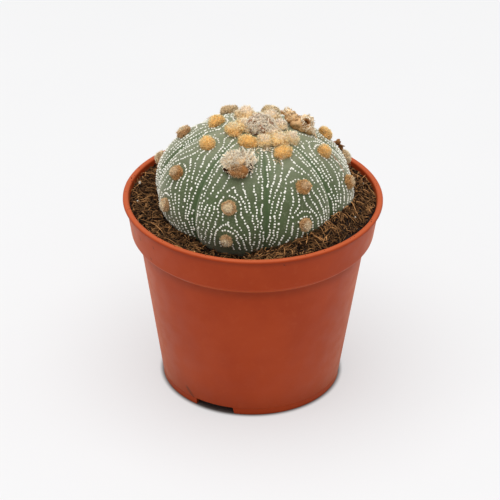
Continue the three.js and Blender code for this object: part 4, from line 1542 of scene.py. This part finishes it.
def front_flower():
    made = Flower(FLOWERS["front"], 30)
    wool, wool_size = (-1.7, 0.6, 2.4), (3.6, 3.4, 2.9)
    tube, tube_size = (0.6, -3.8, 2.0), (3.4, 2.7, 2.5)
    made.add_lump(wool, wool_size, 0.35, 0.7)
    # A dark lump under the shreds on the right, as painted shade in the gaps between them
    made.add_lump((3.2, -0.9, 0.9), (2.2, 2.6, 1.2), 1.0, 0.1)
    made.add_lump(tube, tube_size, 0.8, 0.6, throat=(-0.65, 0.45, 0.75))
    # A dark lump below the left edge, as a painted shadow on the skin
    made.add_lump((-3.6, -3.4, 0.6), (2.0, 1.5, 0.7), 1.0, 0.0)
    made.add_curls(520, wool, wool_size, 1.7, 0.5, -0.1, sweep=(-0.5, -0.7, 0.2), stray=0.5, thick=0.14)
    made.add_curls(150, wool, wool_size, 3.2, 0.5, -0.1, sweep=(-0.9, -0.9, 0.3), stray=0.4, thick=0.18)
    made.add_curls(90, (0.2, 1.8, 2.0), (3.6, 2.4, 2.2), 3.4, 0.7, -0.1, sweep=(0.4, 0.7, 0.5), thick=0.2)
    made.add_curls(180, (-4.2, -1.6, 2.2), (2.2, 1.4, 1.0), 2.2, 0.4, 0.0, sweep=(-1.0, -0.4, 0), thick=0.13)
    made.add_curls(620, tube, tube_size, 1.4, 0.25, 0.5, sweep=(0.1, -0.5, 0.2), lowest=-0.3, thick=0.13)
    made.add_curls(70, (-0.8, -3.4, 2.0), (2.8, 2.2, 2.2), 2.6, 0.4, 0.15, sweep=(-0.4, -1.0, 0), thick=0.12)
    made.add_curls(
        60, (2.8, 1.2, 1.6), (2.8, 3.2, 1.8), 3.4, 1.3, -0.1, sweep=(0.3, -0.2, 0.1), stray=0.9, thick=0.2
    )
    made.add_petals(7, (2.2, 2.0, 2.0), (2.4, 2.6, 1.8), (0.6, 0.6, 0.5), 50, 3.0, 0.5, 0.0)
    made.add_petals(9, (-2.6, -0.2, 2.2), (3.4, 3.0, 2.4), (-0.5, -0.5, 0.6), 60, 2.6, 0.5, 0.05)
    made.add_petals(7, (3.0, -1.2, 1.2), (2.0, 2.4, 1.4), (1, -0.3, 0.4), 45, 2.4, 0.7, 0.05)
    return made.whole


WITHERED = toned_hair(
    "withered_petals",
    [
        (0.0, tint(242, 206, 158), tint(255, 249, 230)),
        (0.4, tint(192, 144, 90), tint(248, 216, 168)),
        (0.75, tint(114, 68, 33), tint(200, 144, 88)),
        (1.0, tint(48, 24, 12), tint(104, 58, 34)),
    ],
    0.45,
)
make_piece("dried_flower_front", front_flower(), WITHERED, ["withered_flower_front"])

# %% [markdown]
# ### The flower at the crown
#
# This one has gone grey: a dome of tight curls with dark gaps between them, and longer cream fuzz round its
# foot.

# %% Crown flower


def crown_flower():
    made = Flower(FLOWERS["crown"], 60)
    middle = (-1.0, -1.2, 2.4)
    made.add_lump(middle, (4.6, 4.6, 4.4), 0.95, 0.3)
    made.add_curls(740, middle, (4.8, 4.8, 4.6), 2.0, 0.9, 0.25, stray=1.6, lowest=-0.2, thick=0.22)
    made.add_curls(460, (-0.8, -0.6, 1.8), (5.4, 5.4, 3.0), 3.3, 0.5, 0.0)
    return made.whole


GREYED = toned_hair(
    "greyed_petals",
    [
        (0.0, tint(252, 224, 178), tint(255, 250, 230)),
        (0.4, tint(255, 224, 190), tint(255, 248, 232)),
        (1.0, tint(132, 94, 68), tint(184, 138, 106)),
    ],
    0.4,
)
make_piece("dried_flower_crown", crown_flower(), GREYED, ["withered_flower_crown"])

# %% [markdown]
# ### The flower on the right
#
# It has fallen over: a pointed papery cone to the upper left, a crumbly brown body, and on the right a pale
# ring of petals round a hole darkened with painted shade.

# %% Right flower


def right_flower():
    made = Flower(FLOWERS["right"], 90)
    opening = (-0.55, 0.75, 0.35)
    made.add_lump((0.6, 2.4, 2.1), (3.4, 2.6, 2.6), 0.5, 0.8)
    made.add_lump((3.4, 3.2, 2.8), (2.6, 2.1, 2.2), 0.5, 0.9)
    made.add_lump((5.2, 4.0, 3.7), (1.7, 1.4, 1.5), 0.45, 0.9)
    made.add_lump((-2.6, 0.2, 1.6), (3.0, 2.7, 2.2), 0.4, 1.0)
    made.add_lump((-4.4, -1.6, 1.2), (1.6, 1.5, 1.3), 0.1, 1.0)
    made.add_lump((-2.2, 1.0, 3.9), (3.2, 2.6, 3.1), 0.3, 1.0, throat=opening)
    made.add_petals(14, (-2.2, 1.0, 3.9), (2.9, 2.3, 2.8), opening, 48, 0.7, 2.4, 0.1)
    made.add_bud(13, (4.2, 3.6, 3.2), (7.2, 4.4, 5.6), 1.5, 0.8, 0.25)
    made.add_flakes(90, (0.6, 2.4, 2.1), (3.4, 2.6, 2.6), 1.2, 0.55)
    made.add_flakes(70, (3.6, 3.2, 2.9), (2.8, 2.1, 2.2), 1.1, 0.35)
    made.add_flakes(50, (-2.6, 0.2, 1.6), (3.0, 2.7, 2.2), 1.3, 0.2)
    made.add_curls(320, (0.6, 2.0, 1.9), (3.5, 2.6, 2.7), 0.9, 0.3, 0.4, thick=0.14)
    made.add_curls(220, (3.6, 3.2, 2.9), (2.8, 2.1, 2.2), 0.9, 0.3, 0.25)
    made.add_curls(260, (-2.6, 0.2, 1.6), (3.1, 2.7, 2.1), 0.9, 0.3, 0.3)
    made.add_curls(140, (-4.4, -1.6, 1.2), (1.6, 1.5, 1.3), 0.7, 0.2, 0.05)
    return made.whole


make_piece("dried_flower_right", right_flower(), WITHERED, ["withered_flower_right"])

# %% [markdown]
# ### Loose scraps
#
# Threads of wool that have come off hang on the skin below the young tufts, and small dry scraps of old
# flowers stick to the right side of the plant.

# %% Loose threads and scraps
# Azimuth, polar angle, number of threads, their length and their tone
LOOSE_THREADS = [
    (21, 34.5, 12, 3.2, 0.3),
    (12, 26, 16, 3.0, 0.0),
    (-4, 27.5, 7, 2.6, 0.0),
    (-21, 29, 7, 2.4, 0.1),
]
# Azimuth, polar angle, number of flakes, their length and their tone
SCRAPS = [(113, 62, 10, 2.6, 0.85), (113, 67, 7, 2.2, 0.85), (97, 37, 10, 0.9, 0.3), (100, 42, 6, 0.8, 0.5)]


def merge_into(whole, part):
    """Adds one bmesh to another."""
    mesh = bpy.data.meshes.new("part")
    part.to_mesh(mesh)
    part.free()
    whole.from_mesh(mesh)
    bpy.data.meshes.remove(mesh)


def model_scraps():
    draw, whole = random.Random(71), bmesh.new()
    for azimuth, polar, count, length, tone in LOOSE_THREADS:
        made = Flower({"azimuth": azimuth, "polar": polar, "turn": 0}, draw.random())
        made.add_curls(count, (0, 0, 0.1), (1.2, 1.0, 0.2), length, 0.6, tone, sweep=(0, 0, -0.1), thick=0.2)
        merge_into(whole, made.whole)
    for azimuth, polar, count, length, tone in SCRAPS:
        made = Flower({"azimuth": azimuth, "polar": polar, "turn": 0}, draw.random())
        made.add_flakes(count, (0, 0, 0.3), (0.8, 0.8, 0.4), length, tone)
        merge_into(whole, made.whole)
    return whole


make_piece("loose_scraps", model_scraps(), WITHERED)

# %% [markdown]
# ## The soil
#
# The pot is filled with coir, the short curly fibre of coconut husk, mixed with dark peat. A closed shell
# carries its mass: it runs up the hole that the plant stands in, over the top and down the pot's wall. Loose
# fibres and crumbs lie on it, thousands of them, because no bump can give the tangled shadow of real coir.

# %% Soil: the mass
SOIL_SEGMENTS = 300
SOIL_TOP_RINGS = 18
HOLE_RINGS = 16
SOIL_GAP = 0.3
SOIL_ROUGHNESS = 0.7
SOIL_SWELL = 3.2
SOIL_SMALL_SWELL = 1.3
SOIL_SMALL_SHARE = 0.6
# How far the mass lies below the surface that the fibres and crumbs make
UNDER_FIBRES = 0.5
# The soil meets the plant between these polar angles, and each halving brings the place nearer
EDGE_POLARS = (60.0, 135.0)
HALVINGS = 24
WALL_LINE = inner_wall(SOIL_GAP)


def wall_radius(z):
    """The radius of the pot's inner wall at a height, less the gap that the soil keeps."""
    heights = [point[1] for point in reversed(WALL_LINE)]
    radii = [point[0] for point in reversed(WALL_LINE)]
    return np.interp(z, heights, radii)


def edge_polar(azimuth):
    """How far down the plant the soil meets it, found by halving."""
    low, high = (np.full(np.shape(azimuth), polar) for polar in EDGE_POLARS)
    for _ in range(HALVINGS):
        middle = (low + high) / 2
        point = on_skin(azimuth, middle, SOIL_GAP)
        clear = point[..., 2] > soil_top(point)
        low, high = np.where(clear, middle, low), np.where(clear, high, middle)
    return low


def hole_ring(share):
    """A ring on the hole's side, from its bottom at 0 to the soil's surface at 1."""
    def ring(azimuth):
        turned = crowded(azimuth)
        polar = LAST_BODY_POLAR + (edge_polar(turned) - LAST_BODY_POLAR) * share
        return on_skin(turned, polar, SOIL_GAP)
    return ring


def top_ring(share):
    """A ring on the soil's rough top, from the plant at 0 to the wall at 1."""
    def ring(azimuth):
        turned = crowded(azimuth)
        edge = on_skin(turned, edge_polar(turned), SOIL_GAP)
        wall = polar_point(azimuth, wall_radius(SOIL_LEVEL))
        points = edge + (wall - edge) * share
        swells = ripple(points, SOIL_SWELL) + SOIL_SMALL_SHARE * ripple(points, SOIL_SMALL_SWELL, 7.0)
        rough = SOIL_ROUGHNESS * swells
        points[:, 2] = soil_top(points) + rough * math.sin(math.pi * share) - UNDER_FIBRES
        return points
    return ring


def model_soil():
    hole = [root_ring(r + SOIL_GAP if r else 0, z - SOIL_GAP) for r, z in reversed(ROOT)]
    hole += [hole_ring(i / HOLE_RINGS) for i in range(HOLE_RINGS)]
    top = [top_ring(i / SOIL_TOP_RINGS) for i in range(SOIL_TOP_RINGS + 1)]
    side = [lambda azimuth, r=r, z=z: polar_point(azimuth, r, z) for r, z in WALL_LINE[1:]]
    floor = [lambda azimuth: polar_point(azimuth, 0, WALL_LINE[-1][1])]
    return shell(hole + top + side + floor, SOIL_SEGMENTS)


def dark_peat():
    material, tree, shader = start_material("dark_peat")
    dark = blend(tree, patches(tree, 1.2), tint(13, 8, 5), tint(34, 21, 13))
    join(tree, blend(tree, patches(tree, 0.5, 0.55, 0.8), dark, tint(88, 56, 34)), shader, "Base Color")
    shader.inputs["Roughness"].default_value = 0.95
    bump(tree, shader, grain(tree, 0.6, 5.0, 0.65), 0.5)
    return material


make_piece("peat_soil", model_soil(), dark_peat(), ["soil"])

# %% [markdown]
# ### Coir fibres and crumbs
#
# Each fibre is a bent strand that lies on the surface and dips into it at both ends. Most are short and
# curly. A few long pale ones lie where the picture shows them.

# %% Coir: modelling
FIBRE_COUNT = 6400
FIBRE_JOINTS = 4
CRUMB_COUNT = 1700
LIP_GRAINS = 70
# Long pale fibres: azimuth and radius of one end, and of the other end
LONG_FIBRES = [
    ((-67.1, 46.6), (-49.3, 45.6)),
    ((-50.5, 48.2), (-36.5, 48.0)),
    ((72.2, 39.5), (64.5, 45.5)),
    ((38.4, 38.5), (38.1, 47.0)),
    ((-24, 44.5), (-9, 45.5)),
    ((150, 44), (163, 46)),
    ((205, 45), (216, 43)),
]
# Short fibres: their lengths in millimetres and how many are of the shorter kind, the share of pale ones,
# and how thick they are
SHORT_FIBRE_LENGTHS = (1.4, 3.6)
LONGER_FIBRE_LENGTHS = (3.6, 7.5)
SHORTER_SHARE = 0.72
PALE_SHARE = 0.22
FIBRE_RADII = (0.09, 0.24)
FIBRE_TAPER = np.array([0.4, 0.9, 1, 0.9, 0.4])
FIBRE_KINK = 0.09
LONG_FIBRE_RADIUS = 0.17
EDGE_AZIMUTHS = np.arange(0.0, 361.0)
EDGE = on_skin(EDGE_AZIMUTHS, edge_polar(EDGE_AZIMUTHS))
EDGE_RADII = np.hypot(EDGE[:, 0], EDGE[:, 1])
OUTER_SOIL_RADIUS = 49.2


# %% Coir: staying between the pot and the plant


def keep_in_pot(points, margin):
    """Moves points that would pass through the wall back inside it."""
    radius = np.hypot(points[:, 0], points[:, 1])
    most = wall_radius(points[:, 2]) - margin
    points[:, :2] *= np.minimum(1, most / radius)[:, None]
    return points


def clear_of_plant(points, margin):
    """Moves points that would be inside the plant out to its skin."""
    local = (points - BODY_CENTRE) @ TILT
    drop = np.where(local[:, 2] > 0, BODY_RISE, BODY_DROP)
    flat = np.hypot(local[:, 0], local[:, 1])
    most = BODY_RADIUS * np.sqrt(np.clip(1 - (local[:, 2] / drop) ** 2, 0, 1)) + margin
    depth = crease_depth(np.degrees(np.arctan2(local[:, 0], -local[:, 1])))
    local[:, :2] *= np.maximum(1, (most - depth) / np.maximum(flat, 1e-6))[:, None]
    return local @ TILT.T + BODY_CENTRE


def soil_spot(draw):
    """A place on the ring of soil round the plant."""
    azimuth = draw.uniform(0, 360)
    inner = np.interp(azimuth, EDGE_AZIMUTHS, EDGE_RADII) + 0.4
    return polar_point(azimuth, math.sqrt(draw.uniform(inner**2, OUTER_SOIL_RADIUS**2)))


# %% Coir: fibres


def fibre_path(start, end, lift, arch, bend, draw):
    """A path over the soil between two points. Its middle arches up and aside, and its ends dip in."""
    share = np.linspace(0, 1, FIBRE_JOINTS + 1)
    path = start + (end - start) * share[:, None]
    hump = 4 * share * (1 - share)
    aside = unit(np.array([-(end - start)[1], (end - start)[0], 0]) + 1e-6)
    path = path + aside * (bend * hump + draws(draw, len(share), -FIBRE_KINK, FIBRE_KINK))[:, None]
    path[:, 2] = soil_top(path) + lift + arch * hump + draws(draw, len(share), -FIBRE_KINK, FIBRE_KINK)
    return path


def add_fibre(strand, path, radius, pale, draw):
    """A fibre along a path, thin at both ends, and paler the higher it stands out of the soil, as painted
    shade low down.
    """
    path = keep_in_pot(clear_of_plant(path, radius + 0.1), radius)
    radii = radius * FIBRE_TAPER
    # The lower a fibre's part lies, the more of the dark root colour it takes: painted shade between the
    # fibres
    along = np.clip(pale + 0.25 * (path[:, 2] - soil_top(path)), 0, 1)
    joint = np.round(strand.points[:, 2] * FIBRE_JOINTS).astype(int)
    strand.add(along_path(strand.points, path, radii), draw.random(), along[joint])


def add_short_fibre(strand, draw):
    """A fibre that lies anywhere on the soil, in any direction."""
    middle = soil_spot(draw)
    lengths = SHORT_FIBRE_LENGTHS if draw.random() < SHORTER_SHARE else LONGER_FIBRE_LENGTHS
    length = draw.uniform(*lengths)
    heading = draw.uniform(0, math.tau)
    reach = np.array([math.cos(heading), math.sin(heading), 0]) * length / 2
    is_pale = draw.random() < PALE_SHARE
    lift, arch, bend = draw.uniform(-1.4, 0.6), draw.uniform(-0.2, 0.6), draw.uniform(-0.12, 0.12) * length
    path = fibre_path(middle - reach, middle + reach, lift + 0.25 * is_pale, arch, bend, draw)
    path[:, 2] += np.linspace(-1, 1, len(path)) * draw.uniform(0, 0.22) * length
    pale = draw.uniform(0.5, 1.0) if is_pale else draw.uniform(0.0, 0.2)
    add_fibre(strand, path, draw.uniform(*FIBRE_RADII), pale, draw)


def model_fibres():
    whole, draw = bmesh.new(), random.Random(11)
    strand = Copies(straight_strand(3, FIBRE_JOINTS), whole)
    for _ in range(FIBRE_COUNT):
        add_short_fibre(strand, draw)
    for ends in LONG_FIBRES:
        start, end = (polar_point(*place) for place in ends)
        add_fibre(strand, fibre_path(start, end, 0.2, 1.2, 0.6, draw), LONG_FIBRE_RADIUS, 1.0, draw)
    return whole


# %% Coir: crumbs


def lip_spot(draw):
    """A place on top of the pot's lip, near its inner edge."""
    across = draw.uniform(-0.95, 0.3)
    z = POT_HEIGHT - RIM_BEAD / 2 * (1 - math.sqrt(1 - across**2))
    return polar_point(draw.uniform(0, 360), LIP_MIDDLE_RADIUS + across * LIP_HALF_WIDTH, z)


def add_grain(grain_shape, place, size, pale, draw):
    """A lumpy grain."""
    swell = 1 + 0.3 * draws(draw, len(grain_shape.points), -1, 1)[:, None]
    points = grain_shape.points * size * draws(draw, 3, 0.6, 1.2) * swell + place
    grain_shape.add(points, draw.random(), pale)


def model_crumbs():
    """Crumbs of peat between the fibres, and a few grains left on the pot's lip."""
    whole, draw = bmesh.new(), random.Random(12)
    crumb = Copies(ball(1), whole)
    for _ in range(CRUMB_COUNT):
        place = soil_spot(draw)
        place[2] = soil_top(place) + draw.uniform(-0.6, 0.4)
        size = draw.uniform(0.25, 0.85)
        place = keep_in_pot(clear_of_plant(place[None], size), size)[0]
        add_grain(crumb, place, size, draw.random() ** 2, draw)
    for _ in range(LIP_GRAINS):
        size = draw.uniform(0.1, 0.26)
        add_grain(crumb, lip_spot(draw), size, 0.2 * draw.random(), draw)
    return whole


# %% Coir: grains of perlite
# White grains of perlite: azimuth, radius and size
PERLITE = [
    (-104.3, 47.6, 0.75), (148, 46, 0.6), (-152, 44, 0.7),
    (104, 46.5, 0.5), (-86, 46.5, 0.4), (62, 46, 0.35),
]
PERLITE_LIFT = 0.7


def model_perlite():
    whole, draw = bmesh.new(), random.Random(13)
    shape = Copies(ball(2), whole)
    for azimuth, radius, size in PERLITE:
        place = polar_point(azimuth, radius)
        place[2] = soil_top(place) + PERLITE_LIFT
        add_grain(shape, place, size, 1.0, draw)
    return whole


# %% Coir: finish


def coir(name, root, tip):
    material, tree, shader = start_material(name)
    colour = use_group(tree, HAIR_COLOUR, {"Root": root, "Tip": tip, "Unevenness": 0.9})["Color"]
    streaks = maths(tree, "MULTIPLY", patches(tree, 0.6, 0.6, 0.4), 0.3)
    join(tree, blend(tree, streaks, colour, tint(52, 28, 14)), shader, "Base Color")
    shader.inputs["Roughness"].default_value = 0.8
    shader.inputs["Specular IOR Level"].default_value = 0.12
    return material


make_piece("coir_fibres", model_fibres(), coir("coir_fibre", tint(17, 8, 3), tint(213, 155, 99)))
make_piece("peat_crumbs", model_crumbs(), coir("peat_crumb", tint(18, 9, 4), tint(78, 48, 27)))


def perlite_white():
    material, tree, shader = start_material("perlite_white")
    colour = blend(tree, patches(tree, 0.5), tint(226, 220, 208), tint(190, 178, 160))
    join(tree, colour, shader, "Base Color")
    shader.inputs["Roughness"].default_value = 0.9
    bump(tree, shader, grain(tree, 0.3, 3.0), 0.1)
    return material


make_piece("perlite_grains", model_perlite(), perlite_white())

# %% [markdown]
# ## Floor and light
#
# The picture is a studio shot on a light table: the object stands on white that is lit from below as well, so
# its shadow is very faint. Soft light comes from all round and a stronger soft light from above. So a white
# world lights the pot from all sides, one large lamp hangs above it, and the pale plain floor glows a little.
# Under the pot, and just round its foot, the glow fades out and the white turns into a painted shadow.

# %% Floor and light
FLOOR_SIZE = 12
WORLD_LIGHT = 0.56
LAMP_POWER = 14.5
FLOOR_GLOW = 0.485
# How far from the pot's axis the floor's painted shadow is full, and where it has faded to white
SHADE_START = FOOT_RADIUS - 0.6
SHADE_END = FOOT_RADIUS + 2.1
LAMP_SIZE = 1.5
LAMP_PLACE = Vector((-0.08, -0.12, 1.3))


def set_floor():
    bm = bmesh.new()
    bmesh.ops.create_grid(bm, x_segments=1, y_segments=1, size=FLOOR_SIZE / 2)
    floor = loose_object("floor", bm)
    material, tree, shader = start_material("floor_paper")
    paper = blend(tree, patches(tree, 300), tint(168, 168, 169), tint(170, 170, 171))
    from_axis = node(tree, "VectorMath", {0: place_on_piece(tree)}, operation="LENGTH").outputs["Value"]
    clear = spread(tree, from_axis, SHADE_START * MM, SHADE_END * MM)
    # A painted shadow under the pot and round its foot
    join(tree, blend(tree, clear, tint(96, 88, 84), paper), shader, "Base Color")
    join(tree, maths(tree, "MULTIPLY", clear, FLOOR_GLOW), shader, "Emission Strength")
    shader.inputs["Roughness"].default_value = 0.9
    shader.inputs["Specular IOR Level"].default_value = 0.1
    shader.inputs["Emission Color"].default_value = (1, 1, 1, 1)
    floor.data.materials.append(material)


def set_light():
    scene = bpy.context.scene
    world = bpy.data.worlds.new("tent")
    world.use_nodes = True
    background = world.node_tree.nodes["Background"]
    background.inputs["Color"].default_value = (1, 1, 1, 1)
    background.inputs["Strength"].default_value = WORLD_LIGHT
    scene.world = world
    lamp = bpy.data.objects.new("lamp", bpy.data.lights.new("lamp", "AREA"))
    lamp.data.shape = "SQUARE"
    lamp.data.size = LAMP_SIZE
    lamp.data.energy = LAMP_POWER
    lamp.location = LAMP_PLACE
    lamp.rotation_mode = "QUATERNION"
    lamp.rotation_quaternion = (CAMERA_AIM - LAMP_PLACE).to_track_quat("-Z", "Y")
    scene.collection.objects.link(lamp)
    scene.view_settings.view_transform = "Standard"


set_floor()
set_light()
print(f"The lamp gives {LAMP_POWER} W from {LAMP_PLACE.z} m above the floor")
